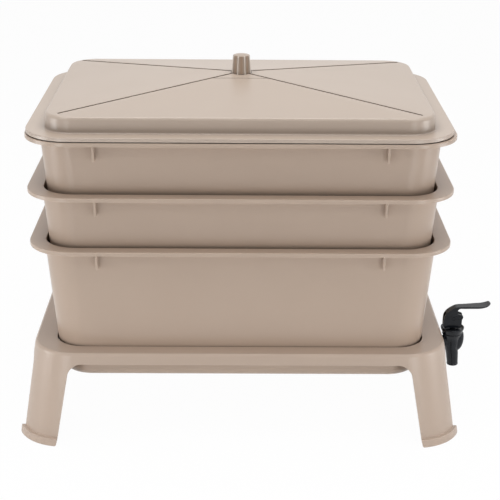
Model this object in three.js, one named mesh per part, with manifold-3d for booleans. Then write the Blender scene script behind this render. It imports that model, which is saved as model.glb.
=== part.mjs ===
// A wormery: a splayed stand, a liquid collector with a tap, two working trays and a lid with a knob.
// Millimetres, +Z up. The trays are centred on X = Y = 0 and the feet stand on Z = 0 while the pieces are
// made; the group then moves sideways so that the middle of the whole outline is the origin.
import * as THREE from 'three';
import { mergeVertices } from 'three/addons/utils/BufferGeometryUtils.js';
import Module from 'manifold-3d';

const wasm = await Module();
wasm.setup();

// Angles and counts shared by all pieces
const degree = Math.PI / 180;
const quarterTurn = Math.PI / 2;
const cornerSteps = 6;
const edgeSteps = 3;
const roundSides = 24;

// Clearances, overlaps of joined shapes and the overrun of cutting shapes
const seatGap = 0.3;
const slideGap = 0.4;
const joinDepth = 1.2;
const cutOverrun = 3;

// Collector and working trays: rims of one size, bodies of one width at the rim, drafted walls
const tray = {
  rimHalfX: 280,
  rimHalfY: 195,
  rimRadius: 59,
  sideOverhang: 19,
  frontOverhang: 15.5,
  bodyRadius: 42,
  wall: 2.5,
  draftAngle: 4.4 * degree,
  rimPlate: 2.5,
  skirtDrop: 6,
  rimEdgeRadius: 1.6,
  bottomRadius: 9,
  pitch: 73.25,
};
const collector = { depth: 191, bottomRadius: 12 };
const workingTray = { depth: 124 };

// Stiffening fins under the rims and the inner ribs that carry the tray above, placed from the body's ends
const fin = { thickness: 3.2, drop: 28, topReach: 13, footReach: 5, endInsetX: 73.5, endInsetY: 74.5 };
const rib = { thickness: 3, lap: 5, endInsetX: 111, endInsetY: 134.5 };

// Drain and crawl holes in the floors of the working trays
const hole = { radius: 3.2, sides: 8, columns: 9, rows: 5, margin: 34 };

// Lid: flange over the rim, raised middle inside a ledge, low pyramid top, rib and pads underneath
const lid = {
  ventGap: 3,
  insetX: 2,
  radius: 60.7,
  flange: 3.4,
  flangeEdgeRadius: 1.2,
  ledgeX: 25.6,
  ledgeY: 21,
  raisedRadius: 37.5,
  raisedHeight: 24.3,
  raisedDraft: 1.2,
  shoulderRadius: 3,
  apexHeight: 45.4,
  sheet: 2.8,
  fit: 1,
  ribWall: 2.2,
  ribDrop: 11,
};
const knobPad = { halfX: 36, halfY: 23, radius: 4 };
const groove = { width: 1.8, depth: 1, endInset: 5 };
const pad = { length: 14, width: 6, endInsetX: 141, endInsetY: 109.5 };
const boss = { radius: 14.6, rise: 0.6 };

// Knob and its screw and washer
const knob = {
  baseRadius: 13.2,
  topRadius: 11.6,
  crownRadius: 7.5,
  height: 23.4,
  crownHeight: 3.4,
  fluteDepth: 0.8,
};
const fluteCount = 8;
const fluteSteps = 6;
const knobLevelShares = [0, 0.04, 0.5, 1];
const screw = {
  shankRadius: 2.3,
  bite: 15,
  headRadius: 4.6,
  headHeight: 3.2,
  slotWidth: 1.2,
  slotDepth: 1.6,
};
const washer = { radius: 7.5, thickness: 1.4 };

// Stand: one moulding with a top plate, a collar round the collector, aprons and four splayed corner legs
const stand = {
  height: 126.5,
  insetX: 1.8,
  insetY: 1.5,
  radius: 58,
  floorOutsetX: 22.1,
  floorOutsetY: 18.8,
  floorRadius: 62,
  openingRadius: 39,
  wall: 3,
  edgeRadius: 5,
  collarDrop: 10,
  collarWall: 2.5,
  lip: 5,
  lipHeight: 10,
};
const leg = { topWidthX: 49.8, floorWidthX: 52.5, topWidthY: 39.5, floorWidthY: 40.3 };
const arch = { radius: 12 };

// Tap: shank through the collector's right wall under the stand's collar and apron, drop spout, bonnet,
// stem and lever; its heights are counted up or down from the shank's axis, and the lever's from its pin
const tap = { wallReach: 51.12, endInset: 89.5, floorRise: 20.5, collarGap: 1, apronGap: 2.5 };
const shank = { radius: 8.5, bore: 5.5, flangeRadius: 14, flange: 3, reach: 8 };
const tapWasher = { radius: 12.5, thickness: 2.4 };
const nut = { radius: 13.5, thickness: 7, sides: 6 };
const tapPad = { radius: 14.5, outProud: 2.4, inProud: 2 };
const chamber = { radius: 9.8, bore: 7.6, seatDrop: 9, topRise: 13.5, flareRadius: 12.4, flareHeight: 4 };
const spout = { topRadius: 8.8, tipRadius: 7.8, bore: 5.4, tipDrop: 35.3, shoulderDrop: 7, lean: 3 };
const bulge = { shift: 4, reach: 10, halfWidth: 7, halfHeight: 19.5, rise: 4 };
const bonnet = {
  radius: 16.4,
  waistRadius: 12.6,
  height: 9,
  rimHeight: 3,
  rimWidth: 1.6,
  recess: 2.4,
  plugDrop: 5,
};
const stem = {
  radius: 3,
  discRadius: 4.4,
  disc: 2,
  tongueHalf: 5,
  tongueWidth: 5.6,
  tongueTop: 5,
  pinRise: 14,
};
const seatCup = { radius: 6.6, height: 6, crown: 2 };
const pin = { radius: 2, inset: 0.3 };
const lever = {
  width: 12,
  back: 13.6,
  front: 10.7,
  heelRadius: 3,
  hook: 13.2,
  hookFoot: 0.5,
  hookRise: 2,
  hookTop: 6.2,
  notch: 6.2,
  notchRise: 9,
  bellyReach: 14.7,
  bellyRise: 15.3,
  bladeReach: 38,
  bladeRise: 17.8,
  bladeDepth: 2.6,
  paddleReach: 36,
  paddleHalf: 9.5,
  reach: 51.3,
  tipRise: 23,
  tipDepth: 1.2,
  crownReach: 5.3,
  crownRise: 17.8,
  shoulderBack: 9.5,
  shoulderRise: 13.2,
};

// Heights, places and half sizes that follow from the values above
const draft = Math.tan(tray.draftAngle);
const bodyHalfX = tray.rimHalfX - tray.sideOverhang;
const bodyHalfY = tray.rimHalfY - tray.frontOverhang;
const lidHalfX = tray.rimHalfX - lid.insetX;
const lidHalfY = tray.rimHalfY;
const raisedHalfX = lidHalfX - lid.ledgeX;
const raisedHalfY = lidHalfY - lid.ledgeY;
const standHalfX = tray.rimHalfX - stand.insetX;
const standHalfY = tray.rimHalfY - stand.insetY;
const shankHeight = stand.height - stand.collarDrop - tap.collarGap - tapPad.radius;
const apronHeight = shankHeight + shank.radius + tap.apronGap;
const collectorRimHeight = shankHeight - tap.floorRise + collector.depth;
const middleRimHeight = collectorRimHeight + tray.pitch;
const topRimHeight = middleRimHeight + tray.pitch;
const seatDrop = workingTray.depth - tray.pitch + seatGap;
const lidHeight = topRimHeight + lid.ventGap;
const chamberTop = shankHeight + chamber.topRise;
const seatHeight = shankHeight - chamber.seatDrop;
const spoutTip = shankHeight - spout.tipDrop;
const bonnetHeight = chamberTop + bonnet.height;
const pinHeight = bonnetHeight + stem.pinRise;
const floorHalfX = standHalfX + stand.floorOutsetX;
const floorHalfY = standHalfY + stand.floorOutsetY;

// Colours of the mouldings and fittings
const finishes = {
  taupe: { color: 0xbaa99a, roughness: 0.48, metalness: 0 },
  black: { color: 0x242427, roughness: 0.34, metalness: 0 },
  rubber: { color: 0x3a3a3c, roughness: 0.85, metalness: 0 },
  silicone: { color: 0xb9b4aa, roughness: 0.6, metalness: 0 },
  steel: { color: 0x9a9a9c, roughness: 0.35, metalness: 1 },
};

// A level loop of points round a rectangle with round corners, counter-clockwise from above
function roundedLoop(halfX, halfY, radius, z) {
  const corners = [[1, -1], [1, 1], [-1, 1], [-1, -1]];
  return corners.flatMap(([sideX, sideY], corner) => Array.from({ length: cornerSteps + 1 }, (_, step) => {
    const angle = (corner - 1 + step / cornerSteps) * quarterTurn;
    const x = sideX * (halfX - radius) + radius * Math.cos(angle);
    const y = sideY * (halfY - radius) + radius * Math.sin(angle);
    return [x, y, z];
  }));
}

// A skin through loops of equal length: the ends are capped, or the last loop joins the first
function loftLoops(loops, joined = false) {
  const count = loops[0].length;
  const positions = loops.flat(2);
  const index = [];
  const bands = joined ? loops.length : loops.length - 1;
  for (let band = 0; band < bands; band += 1) {
    const near = band * count;
    const far = ((band + 1) % loops.length) * count;
    for (let i = 0; i < count; i += 1) {
      const j = (i + 1) % count;
      index.push(near + i, near + j, far + j, near + i, far + j, far + i);
    }
  }
  if (!joined) {
    const ends = [[loops[0], 0, false], [loops[loops.length - 1], (loops.length - 1) * count, true]];
    ends.forEach(([loop, start, up]) => {
      const middle = positions.length / 3;
      positions.push(...[0, 1, 2].map((axis) => loop.reduce((sum, point) => sum + point[axis], 0) / count));
      for (let i = 0; i < count; i += 1) {
        const j = (i + 1) % count;
        index.push(middle, start + (up ? i : j), start + (up ? j : i));
      }
    });
  }
  const geometry = new THREE.BufferGeometry();
  geometry.setAttribute('position', new THREE.BufferAttribute(new Float32Array(positions), 3));
  geometry.setIndex(index);
  return geometry;
}

// A closed mesh as a solid for joining and cutting, without triangles that have no area
function toSolid(geometry) {
  const bare = geometry.clone();
  bare.deleteAttribute('normal');
  bare.deleteAttribute('uv');
  const merged = mergeVertices(bare);
  const triangles = [];
  const { array } = merged.index;
  for (let i = 0; i < array.length; i += 3) {
    const [a, b, c] = [array[i], array[i + 1], array[i + 2]];
    if (a !== b && b !== c && c !== a) triangles.push(a, b, c);
  }
  const vertProperties = new Float32Array(merged.attributes.position.array);
  const triVerts = new Uint32Array(triangles);
  return new wasm.Manifold(new wasm.Mesh({ numProp: 3, vertProperties, triVerts }));
}

// A solid as a geometry with flat faces
function toGeometry(solid) {
  const mesh = solid.getMesh();
  const geometry = new THREE.BufferGeometry();
  geometry.setAttribute('position', new THREE.BufferAttribute(new Float32Array(mesh.vertProperties), 3));
  geometry.setIndex(Array.from(mesh.triVerts));
  geometry.computeVertexNormals();
  return geometry;
}

function joinAll(geometries) {
  return geometries.map(toSolid).reduce((all, next) => all.add(next));
}

// A box between two corners
function boxBetween(low, high) {
  const size = high.map((value, axis) => value - low[axis]);
  const geometry = new THREE.BoxGeometry(...size);
  return geometry.translate(...high.map((value, axis) => (value + low[axis]) / 2));
}

// A body turned round the Z axis from points of radius and height, which start and end on the axis
function turned(points, sides = roundSides) {
  const profile = points.map(([radius, height]) => new THREE.Vector2(radius, height));
  return new THREE.LatheGeometry(profile, sides).rotateX(quarterTurn);
}

// A rod along Z between two heights
function rod(radius, low, high, sides = roundSides) {
  return turned([[0, low], [radius, low], [radius, high], [0, high]], sides);
}

// A rod along X between two places, at a height
function rodAlongX(radius, start, end, y, z, sides = roundSides) {
  return rod(radius, start, end, sides).rotateY(quarterTurn).translate(0, y, z);
}

// A plate that stands on edge: outline points of reach and height, facing a direction round Z
function uprightPlate(outline, thickness, direction, x, y) {
  const shape = new THREE.Shape(outline.map(([reach, height]) => new THREE.Vector2(reach, height)));
  const geometry = new THREE.ExtrudeGeometry(shape, { depth: thickness, bevelEnabled: false });
  return geometry.translate(0, 0, -thickness / 2).rotateX(quarterTurn).rotateZ(direction).translate(x, y, 0);
}

// The drafted body of a tray at a depth under its rim, inset from its outer skin, with corners of one radius
function bodyLoop(rimHeight, drop, inset) {
  const shrink = drop * draft + inset;
  return roundedLoop(bodyHalfX - shrink, bodyHalfY - shrink, tray.bodyRadius - inset, rimHeight - drop);
}

// The shell of a tray: round bottom edge, drafted wall, flat rim with a turned-down skirt, inside again
function trayShell(rimHeight, depth, bottomRadius) {
  const rimLoop = (inset, drop) => roundedLoop(
    tray.rimHalfX - inset, tray.rimHalfY - inset, tray.rimRadius - inset, rimHeight - drop);
  const steps = Array.from({ length: edgeSteps + 1 }, (_, step) => (step / edgeSteps) * quarterTurn);
  const bend = (radius, floorDrop, inset) => steps.map((angle) => bodyLoop(
    rimHeight, floorDrop - radius * (1 - Math.cos(angle)), inset + radius * (1 - Math.sin(angle))));
  const rimEdge = steps.map((angle) => rimLoop(
    tray.rimEdgeRadius * (1 - Math.cos(angle)), tray.rimEdgeRadius * (1 - Math.sin(angle))));
  return loftLoops([
    ...bend(bottomRadius, depth, 0),
    bodyLoop(rimHeight, tray.rimPlate, 0),
    rimLoop(tray.wall, tray.rimPlate),
    rimLoop(tray.wall, tray.skirtDrop),
    rimLoop(0, tray.skirtDrop),
    ...rimEdge,
    bodyLoop(rimHeight, 0, tray.wall),
    ...bend(bottomRadius - tray.wall, depth - tray.wall, tray.wall).reverse(),
  ]);
}

// Places on the four walls, inset from the body's ends: direction outward and a point on the outer line
function wallPlaces(endInsetX, endInsetY) {
  const placeX = bodyHalfX - endInsetX;
  const placeY = bodyHalfY - endInsetY;
  return [-1, 1].flatMap((side) => [
    { direction: 0, x: bodyHalfX, y: side * placeY },
    { direction: 2 * quarterTurn, x: -bodyHalfX, y: side * placeY },
    { direction: quarterTurn, x: side * placeX, y: bodyHalfY },
    { direction: -quarterTurn, x: side * placeX, y: -bodyHalfY },
  ]);
}

// Tapered fins between the rim's underside and the wall
function rimFins(rimHeight) {
  const outline = [
    [-joinDepth, -tray.rimPlate + joinDepth],
    [fin.topReach, -tray.rimPlate + joinDepth],
    [fin.footReach, -fin.drop],
    [-fin.drop * draft - joinDepth, -fin.drop],
  ].map(([reach, height]) => [reach, rimHeight + height]);
  return wallPlaces(fin.endInsetX, fin.endInsetY).map(
    ({ direction, x, y }) => uprightPlate(outline, fin.thickness, direction, x, y));
}

// Ribs inside the wall whose tops carry the floor of the tray above
function seatRibs(rimHeight, depth) {
  const floorDrop = depth - tray.wall;
  const seatReach = -workingTray.depth * draft - tray.bottomRadius - rib.lap;
  const wallReach = (drop) => -drop * draft - joinDepth;
  const outline = [
    [wallReach(seatDrop), -seatDrop],
    [seatReach, -seatDrop],
    [seatReach - (floorDrop - seatDrop) * draft, -floorDrop - joinDepth],
    [wallReach(floorDrop) - tray.bottomRadius, -floorDrop - joinDepth],
    [wallReach(floorDrop - tray.bottomRadius), -floorDrop + tray.bottomRadius],
  ].map(([reach, height]) => [reach, rimHeight + height]);
  return wallPlaces(rib.endInsetX, rib.endInsetY).map(
    ({ direction, x, y }) => uprightPlate(outline, rib.thickness, direction, x, y));
}

function makeTray(rimHeight, depth, bottomRadius) {
  const shell = trayShell(rimHeight, depth, bottomRadius);
  return joinAll([shell, ...rimFins(rimHeight), ...seatRibs(rimHeight, depth)]);
}

// A working tray has a grid of holes through its floor
function makeWorkingTray(rimHeight) {
  const floor = rimHeight - workingTray.depth;
  const halfX = bodyHalfX - workingTray.depth * draft - hole.margin;
  const halfY = bodyHalfY - workingTray.depth * draft - hole.margin;
  const solid = makeTray(rimHeight, workingTray.depth, tray.bottomRadius);
  const low = floor - cutOverrun;
  const high = floor + tray.wall + cutOverrun;
  const drills = [];
  for (let column = 0; column < hole.columns; column += 1) {
    for (let row = 0; row < hole.rows; row += 1) {
      const x = halfX * ((2 * column) / (hole.columns - 1) - 1);
      const y = halfY * ((2 * row) / (hole.rows - 1) - 1);
      drills.push(rod(hole.radius, low, high, hole.sides).translate(x, y, 0));
    }
  }
  return toGeometry(solid.subtract(joinAll(drills)));
}

// The right wall's outer face at the tap, the tap's upright axis, and the flat pads that its washers bear on
const tapWallX = bodyHalfX - (collectorRimHeight - shankHeight) * draft;
const tapX = tapWallX + tap.wallReach;
const tapY = tap.endInset - bodyHalfY;
const padOuterX = tapWallX + tapPad.outProud;
const padInnerX = tapWallX - tray.wall - tapPad.inProud;

function makeCollector() {
  const pads = rodAlongX(tapPad.radius, padInnerX, padOuterX, tapY, shankHeight);
  const bore = rodAlongX(
    shank.radius + seatGap, padInnerX - cutOverrun, padOuterX + cutOverrun, tapY, shankHeight);
  const shell = makeTray(collectorRimHeight, collector.depth, collector.bottomRadius);
  return toGeometry(shell.add(toSolid(pads)).subtract(toSolid(bore)));
}

// The lid's shell, from the middle of its underside outward and back over its top
function lidShell() {
  const flangeLoop = (inset, z) => roundedLoop(
    lidHalfX - inset, lidHalfY - inset, lid.radius - inset, lidHeight + z);
  const raisedLoop = (inset, z) => roundedLoop(
    raisedHalfX - inset, raisedHalfY - inset, lid.raisedRadius - inset, lidHeight + z);
  const padLoop = (z) => roundedLoop(knobPad.halfX, knobPad.halfY, knobPad.radius, lidHeight + z);
  const fitHalfX = bodyHalfX - tray.wall - lid.fit;
  const fitHalfY = bodyHalfY - tray.wall - lid.fit;
  const ribLoop = (inset, z) => roundedLoop(
    fitHalfX - inset, fitHalfY - inset, tray.bodyRadius - tray.wall - lid.fit - inset, lidHeight + z);
  const steps = Array.from({ length: edgeSteps + 1 }, (_, step) => (step / edgeSteps) * quarterTurn);
  const innerEdge = lid.raisedDraft + lid.sheet;
  return loftLoops([
    padLoop(lid.apexHeight - lid.sheet),
    raisedLoop(innerEdge + lid.shoulderRadius, lid.raisedHeight - lid.sheet),
    raisedLoop(innerEdge, lid.raisedHeight - lid.sheet - lid.shoulderRadius),
    raisedLoop(lid.sheet, 0),
    ribLoop(lid.ribWall, 0),
    ribLoop(lid.ribWall, -lid.ribDrop),
    ribLoop(0, -lid.ribDrop),
    ribLoop(0, 0),
    flangeLoop(0, 0),
    ...steps.map((angle) => flangeLoop(
      lid.flangeEdgeRadius * (1 - Math.cos(angle)),
      lid.flange - lid.flangeEdgeRadius * (1 - Math.sin(angle)))),
    raisedLoop(0, lid.flange),
    ...steps.map((angle) => raisedLoop(
      lid.raisedDraft + lid.shoulderRadius * (1 - Math.cos(angle)),
      lid.raisedHeight - lid.shoulderRadius * (1 - Math.sin(angle)))),
    padLoop(lid.apexHeight),
  ]);
}

// Thin grooves from the knob's hub over its pad and down the four hips, and along the pad's front and back
function lidGrooves() {
  const inset = lid.raisedDraft + lid.shoulderRadius;
  const cut = (lid.raisedRadius - inset) * (1 - Math.cos(quarterTurn / 2));
  const runX = raisedHalfX - inset - cut - knobPad.halfX;
  const runY = raisedHalfY - inset - cut - knobPad.halfY;
  const reach = Math.hypot(runX, runY);
  const slope = Math.atan((lid.apexHeight - lid.raisedHeight) / reach);
  const top = lidHeight + lid.apexHeight;
  const bar = (start, end) => boxBetween(
    [start, -groove.width / 2, -groove.depth], [end, groove.width / 2, groove.depth]);
  const padReach = Math.hypot(knobPad.halfX, knobPad.halfY);
  const hips = [[1, 1], [1, -1], [-1, 1], [-1, -1]].flatMap(([sideX, sideY]) => [
    bar(boss.radius - joinDepth, padReach)
      .rotateZ(Math.atan2(sideY * knobPad.halfY, sideX * knobPad.halfX)).translate(0, 0, top),
    bar(0, reach - groove.endInset).rotateY(slope).rotateZ(Math.atan2(sideY * runY, sideX * runX))
      .translate(sideX * knobPad.halfX, sideY * knobPad.halfY, top),
  ]);
  const edges = [-1, 1].map((side) => boxBetween(
    [-knobPad.halfX, -groove.width / 4, -groove.depth / 2], [knobPad.halfX, groove.width / 4, groove.depth])
    .translate(0, side * knobPad.halfY, top));
  return joinAll([...hips, ...edges]);
}

// Pads that hold the lid's flange off the rim, so that air passes all round
function lidPads() {
  const low = topRimHeight + seatGap;
  const high = lidHeight + joinDepth;
  const innerX = bodyHalfX - tray.wall + pad.width / 2;
  const innerY = bodyHalfY - tray.wall + pad.width / 2;
  const placeX = bodyHalfX - pad.endInsetX;
  const placeY = bodyHalfY - pad.endInsetY;
  return [-1, 1].flatMap((sideX) => [-1, 1].flatMap((sideY) => [
    boxBetween([-pad.length / 2, 0, low], [pad.length / 2, pad.width, high])
      .translate(sideX * placeX, sideY > 0 ? innerY : -innerY - pad.width, 0),
    boxBetween([0, -pad.length / 2, low], [pad.width, pad.length / 2, high])
      .translate(sideX > 0 ? innerX : -innerX - pad.width, sideY * placeY, 0),
  ]));
}

const bossTop = lidHeight + lid.apexHeight + boss.rise;
const bossFoot = lidHeight + lid.apexHeight - lid.sheet;

function makeLid() {
  const hub = rod(boss.radius, bossFoot - joinDepth, bossTop);
  const bore = rod(screw.shankRadius + seatGap, bossFoot - cutOverrun - joinDepth, bossTop + cutOverrun);
  const body = toSolid(lidShell()).subtract(lidGrooves());
  return toGeometry(body.add(joinAll([hub, ...lidPads()])).subtract(toSolid(bore)));
}

// A fluted knob, drawn in towards its top, with a round crown and a blind hole for the screw
function makeKnob() {
  const base = bossTop + seatGap;
  const shoulder = base + knob.height - knob.crownHeight;
  const count = fluteCount * fluteSteps;
  const flutedLoop = (radius, depth, z) => Array.from({ length: count }, (_, step) => {
    const angle = (step / count) * 4 * quarterTurn + quarterTurn / fluteCount;
    const dip = depth * (0.5 + 0.5 * Math.cos(angle * fluteCount));
    return [(radius - dip) * Math.cos(angle), (radius - dip) * Math.sin(angle), z];
  });
  const sides = knobLevelShares.map((share) => flutedLoop(
    THREE.MathUtils.lerp(knob.baseRadius, knob.topRadius, share), knob.fluteDepth,
    THREE.MathUtils.lerp(base, shoulder, share)));
  const crown = [1 / 3, 2 / 3, 1].map((share) => flutedLoop(
    THREE.MathUtils.lerp(knob.crownRadius, knob.topRadius, Math.cos(share * quarterTurn)),
    knob.fluteDepth * (1 - share), shoulder + knob.crownHeight * Math.sin(share * quarterTurn)));
  const bore = rod(screw.shankRadius + seatGap, base - cutOverrun, base + screw.bite + cutOverrun);
  return toGeometry(toSolid(loftLoops([...sides, ...crown])).subtract(toSolid(bore)));
}

// The washer bears on the hub's underside and the screw's head on the washer
const washerTop = bossFoot - joinDepth - seatGap;
const washerFoot = washerTop - washer.thickness;

function makeWasher() {
  const ring = rod(washer.radius, washerFoot, washerTop);
  const bore = rod(screw.shankRadius + seatGap, washerFoot - cutOverrun, washerTop + cutOverrun);
  return toGeometry(toSolid(ring).subtract(toSolid(bore)));
}

function makeScrew() {
  const headTop = washerFoot - seatGap;
  const headFoot = headTop - screw.headHeight;
  const chamfer = screw.headHeight / 2;
  const tip = bossTop + seatGap + screw.bite;
  const solid = toSolid(turned([
    [0, headFoot], [screw.headRadius - chamfer, headFoot], [screw.headRadius, headFoot + chamfer],
    [screw.headRadius, headTop], [screw.shankRadius, headTop],
    [screw.shankRadius, tip - screw.shankRadius], [0, tip],
  ]));
  const slots = [0, quarterTurn].map((angle) => boxBetween(
    [-screw.headRadius / 2, -screw.slotWidth / 2, headFoot - cutOverrun],
    [screw.headRadius / 2, screw.slotWidth / 2, headFoot + screw.slotDepth]).rotateZ(angle));
  return toGeometry(solid.subtract(joinAll(slots)));
}

// The stand's ring and skirt before the arches are cut, as a shell that closes on itself; the opening's
// corners are tighter than the collector's
function standShell() {
  const outerLoop = (inset, z) => {
    const share = (stand.height - z) / stand.height;
    return roundedLoop(
      standHalfX + share * stand.floorOutsetX - inset, standHalfY + share * stand.floorOutsetY - inset,
      THREE.MathUtils.lerp(stand.radius, stand.floorRadius, share) - inset, z);
  };
  const openingLoop = (outset, z) => {
    const shrink = (collectorRimHeight - z) * draft - seatGap - outset;
    return roundedLoop(bodyHalfX - shrink, bodyHalfY - shrink, stand.openingRadius + outset, z);
  };
  const steps = Array.from({ length: edgeSteps + 1 }, (_, step) => (step / edgeSteps) * quarterTurn);
  const plateFoot = stand.height - stand.wall;
  return loftLoops([
    outerLoop(stand.wall, 0),
    outerLoop(-stand.lip, 0),
    outerLoop(-stand.lip, stand.lipHeight),
    outerLoop(0, stand.lipHeight),
    ...steps.map((angle) => outerLoop(
      stand.edgeRadius * (1 - Math.cos(angle)),
      stand.height - stand.edgeRadius * (1 - Math.sin(angle)))),
    openingLoop(0, stand.height),
    openingLoop(0, stand.height - stand.collarDrop),
    openingLoop(stand.collarWall, stand.height - stand.collarDrop),
    openingLoop(stand.collarWall, plateFoot),
    outerLoop(stand.wall, plateFoot),
  ], true);
}

// A tapering opening between two legs with round upper corners, cut right through
function archCutter(topHalf, floorHalf, halfLength) {
  const top = apronHeight;
  const lean = (floorHalf - topHalf) / top;
  const footHalf = floorHalf + cutOverrun * lean;
  const shape = new THREE.Shape();
  shape.moveTo(-footHalf, -cutOverrun);
  shape.lineTo(footHalf, -cutOverrun);
  shape.lineTo(topHalf + arch.radius * lean, top - arch.radius);
  shape.quadraticCurveTo(topHalf, top, topHalf - arch.radius, top);
  shape.lineTo(arch.radius - topHalf, top);
  shape.quadraticCurveTo(-topHalf, top, -topHalf - arch.radius * lean, top - arch.radius);
  const depth = 2 * halfLength;
  const geometry = new THREE.ExtrudeGeometry(shape, { depth, bevelEnabled: false, curveSegments: edgeSteps });
  return geometry.translate(0, 0, -halfLength).rotateX(quarterTurn);
}

function makeStand() {
  const reach = stand.lip + cutOverrun;
  const front = archCutter(standHalfX - leg.topWidthX, floorHalfX - leg.floorWidthX, floorHalfY + reach);
  const side = archCutter(standHalfY - leg.topWidthY, floorHalfY - leg.floorWidthY, floorHalfX + reach);
  return toGeometry(toSolid(standShell()).subtract(joinAll([front, side.rotateZ(quarterTurn)])));
}

// The tap's body: chamber, flared top, drop spout, a bulge at its outer side and the shank with its flange
const shankEndX = padInnerX - tapWasher.thickness - nut.thickness - 2 * seatGap - shank.reach;
const shankFlangeX = padOuterX + tapWasher.thickness + 2 * seatGap;

function makeTapBody() {
  const circle = (radius, z, shift = 0) => Array.from({ length: roundSides }, (_, step) => {
    const angle = (step / roundSides) * 4 * quarterTurn;
    return [tapX + shift + radius * Math.cos(angle), tapY + radius * Math.sin(angle), z];
  });
  const shoulder = seatHeight - spout.shoulderDrop;
  const outside = loftLoops([
    circle(spout.tipRadius, spoutTip, spout.lean),
    circle(spout.topRadius, shoulder, spout.lean / 2),
    circle(chamber.radius, seatHeight),
    circle(chamber.radius, chamberTop - chamber.flareHeight),
    circle(chamber.flareRadius, chamberTop),
  ]);
  const swell = new THREE.SphereGeometry(1, roundSides, roundSides / 2)
    .scale(bulge.reach, bulge.halfWidth, bulge.halfHeight)
    .translate(tapX + bulge.shift, tapY, shankHeight + bulge.rise);
  const aboveReach = bulge.shift + bulge.reach + cutOverrun;
  const above = boxBetween(
    [tapX - aboveReach, tapY - aboveReach, chamberTop],
    [tapX + aboveReach, tapY + aboveReach, chamberTop + bulge.halfHeight]);
  const tube = rodAlongX(shank.radius, shankEndX, tapX, tapY, shankHeight);
  const flange = rodAlongX(
    shank.flangeRadius, shankFlangeX, shankFlangeX + shank.flange, tapY, shankHeight);
  const drop = loftLoops([
    circle(spout.bore, spoutTip - cutOverrun, spout.lean),
    circle(spout.bore, spoutTip, spout.lean),
    circle(spout.bore, seatHeight),
    circle(spout.bore, seatHeight + joinDepth),
  ]);
  const well = rod(chamber.bore, seatHeight, chamberTop + cutOverrun).translate(tapX, tapY, 0);
  const feed = rodAlongX(shank.bore, shankEndX - cutOverrun, tapX, tapY, shankHeight);
  return toGeometry(joinAll([outside, swell, tube, flange]).subtract(joinAll([above, drop, well, feed])));
}

// A ring on the shank, between two places along X
function shankRing(radius, start, end, sides) {
  const ring = toSolid(rodAlongX(radius, start, end, tapY, shankHeight, sides));
  const bore = rodAlongX(
    shank.radius + seatGap, start - cutOverrun, end + cutOverrun, tapY, shankHeight);
  return toGeometry(ring.subtract(toSolid(bore)));
}

function makeOuterWasher() {
  const start = padOuterX + seatGap;
  return shankRing(tapWasher.radius, start, start + tapWasher.thickness, roundSides);
}

const innerWasherEnd = padInnerX - seatGap - tapWasher.thickness;

function makeInnerWasher() {
  return shankRing(tapWasher.radius, innerWasherEnd, padInnerX - seatGap, roundSides);
}

function makeNut() {
  const end = innerWasherEnd - seatGap;
  return shankRing(nut.radius, end - nut.thickness, end, nut.sides);
}

// The bonnet: a flared cup over the chamber with a plug inside it and a bore for the stem
function makeBonnet() {
  const foot = chamberTop + seatGap;
  const plug = chamber.bore - seatGap;
  const rim = bonnet.radius - bonnet.rimWidth;
  const floor = bonnetHeight - bonnet.recess;
  const solid = toSolid(turned([
    [0, foot - bonnet.plugDrop], [plug, foot - bonnet.plugDrop], [plug, foot], [bonnet.waistRadius, foot],
    [bonnet.radius, bonnetHeight - bonnet.rimHeight], [bonnet.radius, bonnetHeight], [rim, bonnetHeight],
    [rim - bonnet.recess, floor], [0, floor],
  ]));
  const bore = rod(stem.radius + slideGap, foot - bonnet.plugDrop - cutOverrun, bonnetHeight + cutOverrun);
  return toGeometry(solid.subtract(toSolid(bore)).translate([tapX, tapY, 0]));
}

// The stem: a disc inside the seat cup, a rod through the bonnet and a flat tongue for the lever's pin
const stemFoot = seatHeight + seatGap + seatCup.crown + seatGap;

function makeStem() {
  const tongueFoot = bonnetHeight + seatGap;
  const tongueTop = pinHeight + stem.tongueTop;
  const round = turned([
    [0, stemFoot], [stem.discRadius, stemFoot], [stem.discRadius, stemFoot + stem.disc],
    [stem.radius, stemFoot + stem.disc], [stem.radius, tongueFoot + joinDepth], [0, tongueFoot + joinDepth],
  ]);
  const tongue = boxBetween(
    [-stem.tongueHalf, -stem.tongueWidth / 2, tongueFoot],
    [stem.tongueHalf, stem.tongueWidth / 2, tongueTop]);
  const bore = rod(pin.radius + seatGap, -stem.tongueWidth, stem.tongueWidth).rotateX(quarterTurn)
    .translate(0, 0, pinHeight);
  return toGeometry(joinAll([round, tongue]).subtract(toSolid(bore)).translate([tapX, tapY, 0]));
}

// The soft cup that the stem presses on the seat: closed below, with a lip over the stem's disc
function makeSeatCup() {
  const foot = seatHeight + seatGap;
  const top = foot + seatCup.height;
  const hold = stem.discRadius + seatGap;
  const neck = stem.radius + seatGap;
  const discTop = stemFoot + stem.disc + seatGap;
  return turned([
    [0, foot], [seatCup.radius, foot], [seatCup.radius, top], [neck, top], [neck, discTop], [hold, discTop],
    [hold, stemFoot - seatGap], [0, stemFoot - seatGap],
  ]).translate(tapX, tapY, 0);
}

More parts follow.
